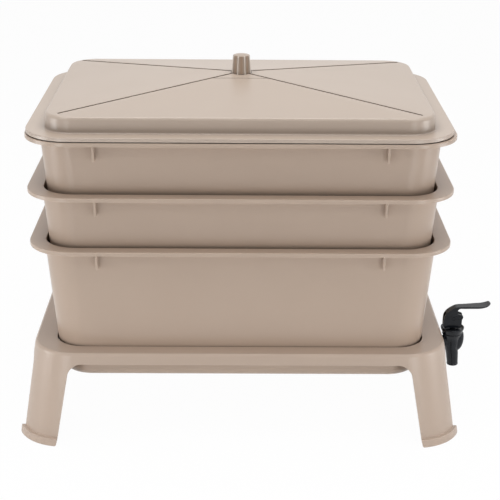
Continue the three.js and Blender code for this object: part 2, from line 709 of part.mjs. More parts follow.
// The lever from above: as wide as its fork at the back, widening to a paddle with a round end
function leverPlan() {
  const shape = new THREE.Shape();
  shape.moveTo(-lever.back - cutOverrun, -lever.width / 2);
  shape.lineTo(lever.bellyReach, -lever.width / 2);
  shape.lineTo(lever.paddleReach, -lever.paddleHalf);
  shape.lineTo(lever.reach - lever.paddleHalf, -lever.paddleHalf);
  shape.absarc(lever.reach - lever.paddleHalf, 0, lever.paddleHalf, -quarterTurn, quarterTurn);
  shape.lineTo(lever.paddleReach, lever.paddleHalf);
  shape.lineTo(lever.bellyReach, lever.width / 2);
  shape.lineTo(-lever.back - cutOverrun, lever.width / 2);
  const depth = stem.pinRise + lever.tipRise + 2 * cutOverrun;
  const curveSegments = roundSides / 2;
  const geometry = new THREE.ExtrudeGeometry(shape, { depth, bevelEnabled: false, curveSegments });
  return geometry.translate(0, 0, -stem.pinRise - cutOverrun);
}

// The lever: a fork over the stem's tongue with a round back and a thin blade that rises towards its tip
function makeLever() {
  const foot = seatGap - stem.pinRise;
  const shape = new THREE.Shape();
  shape.moveTo(-lever.back + lever.heelRadius, foot);
  shape.lineTo(lever.front - lever.heelRadius, foot);
  shape.quadraticCurveTo(lever.front, foot, lever.front, foot + lever.heelRadius);
  shape.lineTo(lever.front, lever.hookFoot);
  shape.lineTo(lever.hook, lever.hookRise);
  shape.lineTo(lever.hook, lever.hookTop);
  shape.lineTo(lever.notch, lever.notchRise);
  shape.quadraticCurveTo(lever.notch, lever.bellyRise, lever.bellyReach, lever.bellyRise);
  shape.lineTo(lever.bladeReach, lever.bladeRise);
  shape.lineTo(lever.reach, lever.tipRise - lever.tipDepth);
  shape.lineTo(lever.reach - 2 * lever.tipDepth, lever.tipRise);
  shape.lineTo(lever.bladeReach + lever.bladeDepth, lever.bladeRise + lever.bladeDepth);
  shape.lineTo(lever.crownReach, lever.crownRise);
  shape.quadraticCurveTo(-lever.shoulderBack, lever.shoulderRise, -lever.back, 0);
  shape.lineTo(-lever.back, foot + lever.heelRadius);
  shape.quadraticCurveTo(-lever.back, foot, -lever.back + lever.heelRadius, foot);
  const depth = 2 * lever.paddleHalf;
  const side = new THREE.ExtrudeGeometry(shape, { depth, bevelEnabled: false, curveSegments: edgeSteps });
  side.translate(0, 0, -lever.paddleHalf).rotateX(quarterTurn);
  const block = toSolid(side).intersect(toSolid(leverPlan()));
  const slotHalf = stem.tongueWidth / 2 + slideGap;
  const slotTop = Math.hypot(stem.tongueHalf, stem.tongueTop) + slideGap;
  const slot = boxBetween(
    [-lever.back - cutOverrun, -slotHalf, foot - cutOverrun], [lever.hook + cutOverrun, slotHalf, slotTop]);
  const bore = rod(pin.radius + seatGap, -lever.width, lever.width).rotateX(quarterTurn);
  return toGeometry(block.subtract(joinAll([slot, bore])).translate([tapX, tapY, pinHeight]));
}

// The pin through the lever's fork and the stem's tongue
function makeLeverPin() {
  const half = lever.width / 2 - pin.inset;
  return rod(pin.radius, -half, half).rotateX(quarterTurn).translate(tapX, tapY, pinHeight);
}

// The pieces by name, each with its shape and its finish
const pieces = {
  stand: [makeStand(), finishes.taupe],
  collector_tray: [makeCollector(), finishes.taupe],
  middle_working_tray: [makeWorkingTray(middleRimHeight), finishes.taupe],
  top_working_tray: [makeWorkingTray(topRimHeight), finishes.taupe],
  lid: [makeLid(), finishes.taupe],
  lid_knob: [makeKnob(), finishes.taupe],
  knob_washer: [makeWasher(), finishes.steel],
  knob_screw: [makeScrew(), finishes.steel],
  tap_body: [makeTapBody(), finishes.black],
  tap_outer_washer: [makeOuterWasher(), finishes.rubber],
  tap_inner_washer: [makeInnerWasher(), finishes.rubber],
  tap_nut: [makeNut(), finishes.black],
  tap_bonnet: [makeBonnet(), finishes.black],
  tap_stem: [makeStem(), finishes.black],
  tap_seat_cup: [makeSeatCup(), finishes.silicone],
  tap_lever: [makeLever(), finishes.black],
  tap_lever_pin: [makeLeverPin(), finishes.black],
};

const wormery = new THREE.Group();
Object.entries(pieces).forEach(([name, [geometry, finish]]) => {
  const mesh = new THREE.Mesh(geometry, new THREE.MeshStandardMaterial(finish));
  mesh.name = name;
  wormery.add(mesh);
});

// The tap reaches out on one side only, so the group moves to bring the middle of its outline over the origin
const outline = new THREE.Box3().setFromObject(wormery);
wormery.position.x = -(outline.min.x + outline.max.x) / 2;

export default wormery;
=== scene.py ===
"""A stacking wormery on a pale floor: splayed stand, collector with a tap, two working trays and a lid.

Shapes are drawn in millimetres round the middle of the trays, with the feet on Z = 0. Each finished mesh is
turned into metres and moved to the trays' place in the frame. Lamps, floor and camera are placed in metres.
"""

import logging
import math
from dataclasses import dataclass, field, replace
from enum import Enum

import bmesh
import bpy
from mathutils import Matrix, Vector


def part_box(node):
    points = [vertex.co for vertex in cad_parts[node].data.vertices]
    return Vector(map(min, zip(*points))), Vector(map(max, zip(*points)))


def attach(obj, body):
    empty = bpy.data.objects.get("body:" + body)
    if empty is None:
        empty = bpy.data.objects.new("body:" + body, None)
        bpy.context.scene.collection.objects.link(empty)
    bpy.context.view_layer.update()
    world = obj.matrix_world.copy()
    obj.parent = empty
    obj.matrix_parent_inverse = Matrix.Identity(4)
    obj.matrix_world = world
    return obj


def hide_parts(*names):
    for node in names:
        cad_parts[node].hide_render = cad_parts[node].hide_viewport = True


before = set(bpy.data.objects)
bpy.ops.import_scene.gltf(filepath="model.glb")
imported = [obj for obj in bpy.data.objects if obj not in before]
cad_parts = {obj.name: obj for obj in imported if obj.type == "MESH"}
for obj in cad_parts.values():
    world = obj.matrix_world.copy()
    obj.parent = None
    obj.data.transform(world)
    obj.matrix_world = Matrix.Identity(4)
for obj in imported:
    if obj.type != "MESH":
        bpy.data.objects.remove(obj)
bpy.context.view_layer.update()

log = logging.getLogger("wormery")

MILLIMETRE = 0.001

# How finely curves are divided
CORNER_STEPS = 14
SOFT_STEPS = 6
LATHE_STEPS = 4
SPOUT_STEPS = 5
BEVEL_STEPS = 3
SMALL_BEVEL_STEPS = 2
ROUND_SIDES = 96
PIN_SIDES = 48

# Overruns of cutting shapes, overlaps of joined ones, clearances and what counts as a sliver, in millimetres
CUT_OVERRUN = 3.0
JOIN_DEPTH = 1.2
SEAT_GAP = 0.3
SLIVER = 0.002
SAME_POINT = 1e-5

# Roundings of small edges, in millimetres
CRISP = 0.2
FINE = 0.3
SMALL = 0.4
EASED = 0.5

# Handles of a curve that stands for a quarter circle, and the most that one rounding takes of a side
ARC_HANDLE_SHARE = 0.5523
LONGEST_SOFT_SHARE = 0.5

# Turns beyond which an edge is shaded sharp or gets a bevel, and how much large faces rule the shading
SHARP_ANGLE = math.radians(38)
BEVEL_ANGLE = math.radians(40)
EVEN_SHADING_WEIGHT = 80

QUARTER_TURN = math.pi / 2
ALONG_Y = Matrix.Rotation(QUARTER_TURN, 4, "X")
CORNERS = ((-1, -1), (-1, 1), (1, -1), (1, 1))

Pair = tuple[float, float]
Triple = tuple[float, float, float]
Color = Triple
Socket = bpy.types.NodeSocket

WHOLE_RANGE: Pair = (0.0, 1.0)


class Body(Enum):
    """The bodies of the frame that pieces ride on."""

    BASE = "base"
    MIDDLE_TRAY = "middle_tray"
    TOP_TRAY = "top_tray"
    LID = "lid"
    TAP_STEM = "tap_stem"
    TAP_LEVER = "tap_lever"


class Join(Enum):
    """How one closed mesh changes another."""

    ADD = "UNION"
    CUT = "DIFFERENCE"
    KEEP_COMMON = "INTERSECT"


class Facing(Enum):
    """The four walls of a tray, by the turn from +X to the wall's outward direction."""

    RIGHT = 0.0
    BACK = QUARTER_TURN
    LEFT = 2 * QUARTER_TURN
    FRONT = -QUARTER_TURN


def trays_middle() -> float:
    """Find where the middle of the trays lies along X.

    Returns:
        The place in the frame, in metres.
    """
    low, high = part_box("collector_tray")
    return (low.x + high.x) / 2


def top_of(node: str) -> float:
    """Give the height of the top of one of the frame's nodes, in millimetres."""
    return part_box(node)[1].z / MILLIMETRE


def turns_round(sides: int) -> list[float]:
    """Give the angles of equal steps round a circle."""
    return [2 * math.pi * side / sides for side in range(sides)]


def arc_points(start: Vector, corner: Vector, end: Vector, steps: int = SOFT_STEPS) -> list[Vector]:
    """Round a corner off with a curve close to an arc.

    Args:
        start: Point where the rounding begins, on the way into the corner.
        corner: The corner itself.
        end: Point where the rounding ends, on the way out.
        steps: Number of segments of the curve.

    Returns:
        The points of the curve, its two ends included.
    """
    first = start.lerp(corner, ARC_HANDLE_SHARE)
    second = end.lerp(corner, ARC_HANDLE_SHARE)
    points = []
    for step in range(steps + 1):
        t = step / steps
        u = 1 - t
        points.append(start * u**3 + first * (3 * t * u * u) + second * (3 * t * t * u) + end * t**3)
    return points


def softened(points: list[tuple[Vector, float]], ring: bool, steps: int = SOFT_STEPS) -> list[Vector]:
    """Round the corners of a run of points.

    Args:
        points: Each point with the length of its rounding, measured from the corner along both sides.
        ring: Whether the last point is joined to the first.
        steps: Number of segments of each rounding.

    Returns:
        The points of the rounded run.
    """
    run: list[Vector] = []
    for place, (here, soft) in enumerate(points):
        if soft <= 0 or (not ring and place in (0, len(points) - 1)):
            run.append(here)
            continue
        before = points[place - 1][0]
        after = points[(place + 1) % len(points)][0]
        start = here.lerp(before, min(LONGEST_SOFT_SHARE, soft / (here - before).length))
        end = here.lerp(after, min(LONGEST_SOFT_SHARE, soft / (here - after).length))
        run.extend(arc_points(start, here, end, steps))
    return run


@dataclass(frozen=True)
class Station:
    """A level of a moulding: a rectangle with round corners at a height, and how softly the section turns."""

    half_x: float
    half_y: float
    radius: float
    z: float
    soft: float = 0.0

    def as_vector(self) -> Vector:
        """Give the four sizes as one vector, so that levels can be blended."""
        return Vector((self.half_x, self.half_y, self.radius, self.z))


def rounded_loop(level: Vector) -> list[Vector]:
    """Draw a level rectangle with round corners, counter-clockwise from above.

    Args:
        level: Half length, half width, corner radius and height.

    Returns:
        The points of the loop.
    """
    half_x, half_y, radius, z = level
    loop = []
    for corner, (side_x, side_y) in enumerate(((1, -1), (1, 1), (-1, 1), (-1, -1))):
        for step in range(CORNER_STEPS + 1):
            angle = (corner - 1 + step / CORNER_STEPS) * QUARTER_TURN
            x = side_x * (half_x - radius) + radius * math.cos(angle)
            y = side_y * (half_y - radius) + radius * math.sin(angle)
            loop.append(Vector((x, y, z)))
    return loop


class Blank:
    """A closed mesh in the making, in millimetres round the trays' middle."""

    def __init__(self, points: list[Vector], faces: list[tuple[int, ...]]) -> None:
        """Make the mesh, with its faces turned outward.

        Args:
            points: The corners.
            faces: The corners of each face, by their numbers.
        """
        mesh = bpy.data.meshes.new("blank")
        mesh.from_pydata(points, [], faces)
        work = bmesh.new()
        work.from_mesh(mesh)
        bmesh.ops.remove_doubles(work, verts=work.verts, dist=SAME_POINT)
        bmesh.ops.recalc_face_normals(work, faces=work.faces)
        work.to_mesh(mesh)
        work.free()
        self.holder = bpy.data.objects.new("blank", mesh)
        bpy.context.scene.collection.objects.link(self.holder)

    @property
    def mesh(self) -> bpy.types.Mesh:
        """The mesh as it is now."""
        return self.holder.data

    def turned(self, matrix: Matrix) -> "Blank":
        """Move or turn the mesh and give the blank back."""
        self.mesh.transform(matrix)
        return self

    def moved(self, x: float, y: float, z: float) -> "Blank":
        """Move the mesh and give the blank back."""
        return self.turned(Matrix.Translation((x, y, z)))

    def bevelled(self, width: float, segments: int = BEVEL_STEPS, angle: float = BEVEL_ANGLE) -> "Blank":
        """Round the sharp edges.

        Args:
            width: Width of the rounding.
            segments: Number of faces across it.
            angle: Edges that turn by more than this are rounded.

        Returns:
            The blank itself.
        """
        modifier = self.holder.modifiers.new("soft edges", "BEVEL")
        modifier.width = width
        modifier.segments = segments
        modifier.limit_method = "ANGLE"
        modifier.angle_limit = angle
        modifier.miter_outer = "MITER_ARC"
        return self.applied()

    def shaped(self, others: list["Blank"], join: Join) -> "Blank":
        """Join other blanks to this one, or cut them out of it, one after another.

        Args:
            others: The blanks, which are used up.
            join: What each one does to this mesh.

        Returns:
            The blank itself.
        """
        for other in others:
            modifier = self.holder.modifiers.new("shape", "BOOLEAN")
            modifier.operation = join.value
            modifier.solver = "MANIFOLD"
            modifier.object = other.holder
            self.applied()
            other.discard()
        return self

    def applied(self) -> "Blank":
        """Turn the mesh's modifiers into plain faces.

        Returns:
            The blank itself.
        """
        graph = bpy.context.evaluated_depsgraph_get()
        fresh = bpy.data.meshes.new_from_object(self.holder.evaluated_get(graph))
        old = self.mesh
        self.holder.modifiers.clear()
        self.holder.data = fresh
        bpy.data.meshes.remove(old)
        return self

    def cleaned(self) -> "Blank":
        """Merge points that all but touch and drop the slivers between them.

        Returns:
            The blank itself.
        """
        work = bmesh.new()
        work.from_mesh(self.mesh)
        bmesh.ops.remove_doubles(work, verts=work.verts, dist=SLIVER)
        bmesh.ops.dissolve_degenerate(work, edges=work.edges, dist=SLIVER)
        work.to_mesh(self.mesh)
        work.free()
        return self

    def discard(self) -> None:
        """Remove the blank from the scene."""
        mesh = self.mesh
        bpy.data.objects.remove(self.holder)
        bpy.data.meshes.remove(mesh)


def gathered(blanks: list[Blank]) -> Blank:
    """Put blanks that don't touch each other into one mesh.

    Args:
        blanks: The blanks, which are used up.

    Returns:
        One blank that holds them all.
    """
    points: list[Vector] = []
    faces: list[tuple[int, ...]] = []
    for blank in blanks:
        first = len(points)
        points.extend(vertex.co.copy() for vertex in blank.mesh.vertices)
        faces.extend(tuple(first + corner for corner in face.vertices) for face in blank.mesh.polygons)
        blank.discard()
    return Blank(points, faces)


def skin(loops: list[list[Vector]], ring: bool = False) -> Blank:
    """Stretch a skin over loops of equal length.

    Args:
        loops: The loops, each with the same number of points.
        ring: Whether the last loop is joined to the first. Otherwise flat faces close both ends.

    Returns:
        The closed mesh.
    """
    count = len(loops[0])
    faces: list[tuple[int, ...]] = []
    for band in range(len(loops) if ring else len(loops) - 1):
        near, far = band * count, (band + 1) % len(loops) * count
        for here in range(count):
            there = (here + 1) % count
            faces.append((near + here, near + there, far + there, far + here))
    if not ring:
        faces.append(tuple(range(count))[::-1])
        faces.append(tuple(range((len(loops) - 1) * count, len(loops) * count)))
    return Blank([point for loop in loops for point in loop], faces)


def moulded(stations: list[Station], ring: bool = False) -> Blank:
    """Mould a shell from levels, with its section softened where they say.

    Args:
        stations: The levels in the order of the section.
        ring: Whether the section closes on itself.

    Returns:
        The closed mesh.
    """
    run = softened([(station.as_vector(), station.soft) for station in stations], ring)
    return skin([rounded_loop(level) for level in run], ring)


def lathed(profile: list[Triple], sides: int = ROUND_SIDES, ring: bool = False) -> Blank:
    """Turn a profile round the Z axis.

    Args:
        profile: Radius, height and rounding of each point. An open profile starts and ends on the axis.
        sides: Number of sides of the turned body.
        ring: Whether the profile closes on itself, as that of a washer does.

    Returns:
        The closed mesh.
    """
    run = softened([(Vector((r, z)), soft) for r, z, soft in profile], ring, LATHE_STEPS)
    if not ring:
        run = run[1:-1]
    turns = turns_round(sides)
    loops = [[Vector((r * math.cos(turn), r * math.sin(turn), z)) for turn in turns] for r, z in run]
    return skin(loops, ring)


def rod(radius: float, low: float, high: float, sides: int = ROUND_SIDES) -> Blank:
    """Make a plain rod along Z between two heights."""
    return lathed([(0, low, 0), (radius, low, 0), (radius, high, 0), (0, high, 0)], sides)


def prism(outline: list[Triple], thickness: float, steps: int = SOFT_STEPS) -> Blank:
    """Make a plate that stands on edge: its outline in X and Z, its thickness along Y.

    Args:
        outline: Reach, height and rounding of each corner.
        thickness: Thickness of the plate, half on each side of Y = 0.
        steps: Number of segments of each rounding.

    Returns:
        The closed mesh.
    """
    run = softened([(Vector((reach, height)), soft) for reach, height, soft in outline], True, steps)
    return skin([[Vector((x, side * thickness / 2, z)) for x, z in run] for side in (-1, 1)])


def slab(low: Triple, high: Triple) -> Blank:
    """Make a block between two corners."""
    corners = [(low[0], low[2], 0.0), (high[0], low[2], 0.0), (high[0], high[2], 0.0), (low[0], high[2], 0.0)]
    return prism(corners, high[1] - low[1]).moved(0, (low[1] + high[1]) / 2, 0)


class Nodes:
    """A material's or a world's node tree, filled by short calls."""

    def __init__(self, owner: bpy.types.Material | bpy.types.World) -> None:
        """Empty the tree of a material or world and start on it.

        Args:
            owner: The material or world.
        """
        owner.use_nodes = True
        self.tree = owner.node_tree
        self.tree.nodes.clear()

    def add(self, kind: str, inputs: dict[str | int, object] | None = None,
            **settings: object) -> bpy.types.Node:
        """Add a node.

        Args:
            kind: The node's type, without its "ShaderNode" prefix.
            inputs: Values or other nodes' outputs for its inputs, by name or number.
            settings: Values of the node's own properties.

        Returns:
            The node.
        """
        node = self.tree.nodes.new("ShaderNode" + kind)
        for name, value in settings.items():
            setattr(node, name, value)
        for name, value in (inputs or {}).items():
            if isinstance(value, Socket):
                self.tree.links.new(value, node.inputs[name])
            else:
                node.inputs[name].default_value = value
        return node

    def calculate(self, operation: str, *values: float | Socket) -> Socket:
        """Work out a value from one or two others and give it."""
        return self.add("Math", dict(enumerate(values)), operation=operation).outputs["Value"]

    def noise(self, scale: float, detail: float, along: Socket) -> Socket:
        """Add a noise texture and give its value."""
        return self.add("TexNoise", {"Vector": along, "Scale": scale, "Detail": detail}).outputs["Fac"]

    def spread(self, value: Socket, given: Pair, onto: Pair = WHOLE_RANGE) -> Socket:
        """Stretch a value from one range onto another.

        Args:
            value: The value.
            given: The two ends of the range that it comes from.
            onto: The two ends of the new range.

        Returns:
            The new value, held within its range.
        """
        return self.add("MapRange", {"Value": value, "From Min": given[0], "From Max": given[1],
                                     "To Min": onto[0], "To Max": onto[1]}).outputs["Result"]

    def mix(self, share: Socket, first: Color | Socket, second: Color | Socket) -> Socket:
        """Mix two colours.

        Args:
            share: How much of the second colour shows.
            first: The colour at a share of zero.
            second: The colour at a share of one.

        Returns:
            The mixed colour.
        """
        node = self.add("Mix", data_type="RGBA")
        for identifier, value in (("Factor_Float", share), ("A_Color", first), ("B_Color", second)):
            socket = next(s for s in node.inputs if s.identifier == identifier)
            if isinstance(value, Socket):
                self.tree.links.new(value, socket)
            else:
                socket.default_value = (*value, 1.0)
        return next(s for s in node.outputs if s.identifier == "Result_Color")


@dataclass(frozen=True)
class Finish:
    """A surface finish: colour with slow and fine variation, edges lightened for wear and as a painted
    highlight, painted shade in crevices, uneven gloss and a moulded grain.

    A pair is the two ends of a range. Lengths are in metres.
    """

    slot: str
    color: Color
    shade: Color
    edge: Color
    painted_shade_color: Color
    roughness: float
    variant: str = ""
    # The knob's flutes: painted shade in the hollows, painted highlight on the ridges, none on the top
    flutes: int = 0
    hollow_shade_color: Color = (0.0, 0.0, 0.0)
    flute_hollow: Pair = (0.0, 0.8)
    flute_ridge: Pair = (-0.82, -0.98)
    flute_top: Pair = (0.45, 0.75)
    roughness_spread: float = 0.03
    mottle_scale: float = 11.0
    mottle_range: Pair = (0.2, 0.8)
    fleck_scale: float = 420.0
    fleck_range: Pair = (0.45, 0.75)
    fleck_share: float = 0.25
    noise_detail: float = 2.0
    grain_scale: float = 1500.0
    grain_detail: float = 4.0
    grain_depth: float = 0.00006
    grain_strength: float = 0.35
    # Edges lightened for wear and as a painted highlight: width, match range, share, least share, polish and
    # samples
    edge_width: float = 0.0015
    edge_match: Pair = (0.985, 0.80)
    edge_share: float = 0.75
    edge_least: float = 0.55
    edge_polish: float = 0.01
    edge_samples: int = 4
    # Painted shade in crevices: reach of the occlusion test, the openness over which it fades from its full
    # share to none, the full share and the samples
    crevice_reach: float = 0.006
    crevice_open: Pair = (0.1, 0.56)
    crevice_share: float = 0.8
    crevice_samples: int = 6
    metallic: float = 0.0
    specular: float = 0.5
    stretch: Triple = (1.0, 1.0, 1.0)

    def material(self) -> bpy.types.Material:
        """Build the finish's material, once for each finish.

        Returns:
            The material.
        """
        name = "finish " + self.slot + self.variant
        known = bpy.data.materials.get(name)
        if known:
            return known
        material = bpy.data.materials.new(name)
        nodes = Nodes(material)
        place = nodes.add("TexCoord").outputs["Object"]
        along = nodes.add("Mapping", {"Vector": place, "Scale": self.stretch}).outputs["Vector"]
        mottle = nodes.spread(nodes.noise(self.mottle_scale, self.noise_detail, place), self.mottle_range)
        fleck = nodes.spread(nodes.noise(self.fleck_scale, self.noise_detail, along), self.fleck_range,
                             (0.0, self.fleck_share))
        grain = nodes.noise(self.grain_scale, self.grain_detail, along)
        # Edges lighten for wear and as a painted highlight
        wear_and_highlight = self.wear_and_highlight_edges(nodes, mottle)
        body = nodes.mix(fleck, nodes.mix(mottle, self.color, self.shade), self.shade)
        if self.flutes:
            body = self.fluted(nodes, place, body)
        half = self.roughness_spread / 2
        gloss = nodes.spread(mottle, WHOLE_RANGE, (self.roughness - half, self.roughness + half))
        polish = nodes.spread(wear_and_highlight, WHOLE_RANGE, (0.0, self.edge_polish))
        relief = nodes.add("Bump", {"Height": grain, "Distance": self.grain_depth,
                                    "Strength": self.grain_strength}).outputs["Normal"]
        # Painted shade: where surroundings are close, in gaps, creases and under ledges, the colour darkens
        # towards a painted shade colour
        closed = nodes.add("AmbientOcclusion", {"Distance": self.crevice_reach},
                           samples=self.crevice_samples).outputs["AO"]
        painted_shade_share = nodes.spread(closed, self.crevice_open, (self.crevice_share, 0.0))
        shader = nodes.add("BsdfPrincipled", {
            "Base Color": nodes.mix(painted_shade_share, nodes.mix(wear_and_highlight, body, self.edge), self.painted_shade_color),
            "Roughness": nodes.calculate("SUBTRACT", gloss, polish), "Normal": relief,
            "Metallic": self.metallic, "Specular IOR Level": self.specular})
        nodes.add("OutputMaterial", {"Surface": shader.outputs["BSDF"]})
        return material

    def fluted(self, nodes: Nodes, place: Socket, body: Socket) -> Socket:
        """Colour the knob's grip: painted shade in the hollows, pale wear and a painted highlight on the
        ridges, and a plain top.

        Args:
            nodes: The material's node tree.
            place: The place on the piece.
            body: The colour without flutes.

        Returns:
            The colour.
        """
        wave = self.flute_wave(nodes, place)
        # Painted shade in the hollows and a painted highlight on the ridges; upward faces take the plain
        # colour
        hollow = nodes.mix(nodes.spread(wave, self.flute_hollow), body, self.hollow_shade_color)
        ridged = nodes.mix(nodes.spread(wave, self.flute_ridge), hollow, self.edge)
        up = nodes.add("SeparateXYZ", {0: nodes.add("NewGeometry").outputs["Normal"]}).outputs["Z"]
        return nodes.mix(nodes.spread(up, self.flute_top), ridged, self.color)

    def flute_wave(self, nodes: Nodes, place: Socket) -> Socket:
        """Follow the knob's flutes round its axis.

        Args:
            nodes: The material's node tree.
            place: The place on the piece.

        Returns:
            A wave that is 1 in the middle of each hollow and -1 on each ridge.
        """
        centred = nodes.add("VectorMath", {0: place, 1: (-trays_middle(), 0.0, 0.0)}, operation="ADD")
        parts = nodes.add("SeparateXYZ", {0: centred.outputs["Vector"]}).outputs
        turn = nodes.calculate("ARCTAN2", parts["Y"], parts["X"])
        return nodes.calculate("COSINE", nodes.calculate("MULTIPLY", turn, float(self.flutes)))

    def wear_and_highlight_edges(self, nodes: Nodes, patches: Socket) -> Socket:
        """Find the edges, where hands and stacking polish the surface and where a painted highlight lightens
        them.

        Args:
            nodes: The material's node tree.
            patches: A slow variation that makes the wear uneven.

        Returns:
            The share of wear and painted highlight.
        """
        rounded = nodes.add("Bevel", {"Radius": self.edge_width}, samples=self.edge_samples).outputs["Normal"]
        true = nodes.add("NewGeometry").outputs["Normal"]
        match = nodes.add("VectorMath", {0: rounded, 1: true}, operation="DOT_PRODUCT").outputs["Value"]
        edge = nodes.spread(match, self.edge_match, (0.0, self.edge_share))
        return nodes.calculate("MULTIPLY", edge, nodes.spread(patches, WHOLE_RANGE, (self.edge_least, 1.0)))


# Finishes by slot, colour, second tone, edge colour (wear and painted highlight), colour of the painted
# crevice shade and roughness
TRAY_PLASTIC = Finish("tray_plastic", (0.485, 0.376, 0.298), (0.472, 0.364, 0.287), (0.66, 0.55, 0.46),
                      (0.070, 0.043, 0.026), 0.30)
STAND_PLASTIC = Finish("stand_plastic", (0.48, 0.376, 0.303), (0.467, 0.365, 0.293), (0.60, 0.50, 0.42),
                       (0.070, 0.043, 0.026), 0.31)
# The lid is the trays' plastic, made a little greyer as painted sheen on its lit top; its crevice darkening
# reaches far, as painted shadow at the foot of the raised middle and on the flange's inner part
LID_PLASTIC = Finish("lid_plastic", (0.475, 0.384, 0.314), (0.463, 0.373, 0.304), (0.70, 0.61, 0.53),
                     (0.045, 0.026, 0.014), 0.36, crevice_reach=0.034, crevice_open=(0.1, 0.76),
                     crevice_share=0.92, specular=0.8)
# The knob is the lid's plastic, coloured darker as painted shade; its pale edge colour gives the ridges wear
# and a painted highlight
KNOB_PLASTIC = Finish("lid_plastic", (0.43, 0.342, 0.275), (0.42, 0.332, 0.266), (0.92, 0.86, 0.79),
                      (0.13, 0.080, 0.048), 0.31, variant=" knob", flutes=8, hollow_shade_color=(0.40, 0.285, 0.205))
TAP_PLASTIC = Finish("tap_plastic", (0.004, 0.0052, 0.008), (0.007, 0.0085, 0.012), (0.036, 0.040, 0.048),
                     (0.002, 0.002, 0.003), 0.21, grain_strength=0.2, edge_width=0.0006, specular=0.28)
SEAL_RUBBER = Finish("seal_rubber", (0.035, 0.034, 0.033), (0.05, 0.049, 0.047), (0.07, 0.07, 0.068),
                     (0.012, 0.012, 0.012), 0.74, fleck_share=0.6, grain_strength=0.5)
SILICONE = Finish("silicone", (0.58, 0.56, 0.52), (0.53, 0.51, 0.47), (0.66, 0.64, 0.60),
                  (0.30, 0.28, 0.25), 0.5)
STEEL = Finish("steel", (0.60, 0.60, 0.61), (0.50, 0.50, 0.51), (0.72, 0.72, 0.73), (0.22, 0.22, 0.22), 0.28,
               metallic=1.0, stretch=(1.0, 1.0, 14.0), grain_scale=900.0, edge_width=0.0004)


def finished(blank: Blank, name: str, node: str, body: Body, finish: Finish) -> bpy.types.Object:
    """Turn a blank into a finished piece of the object.

    Args:
        blank: The mesh in millimetres round the trays' middle.
        name: The piece's name.
        node: The frame's node that the piece stands for.
        body: The body that it rides on.
        finish: Its finish.

    Returns:
        The piece.
    """
    scale = Matrix.Scale(MILLIMETRE, 4)
    blank.cleaned().turned(Matrix.Translation((trays_middle(), 0, 0)) @ scale)
    piece = blank.holder
    piece.name = name
    piece.data.name = name
    piece.data.shade_smooth()
    piece.data.set_sharp_from_angle(angle=SHARP_ANGLE)
    weighted = piece.modifiers.new("even shading", "WEIGHTED_NORMAL")
    weighted.keep_sharp = True
    weighted.weight = EVEN_SHADING_WEIGHT
    piece.data.materials.clear()
    piece.data.materials.append(finish.material())
    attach(piece, body.value)
    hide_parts(node)
    log.info("%s stands for %s: %d faces, %s", name, node, len(piece.data.polygons), finish.slot)
    return piece


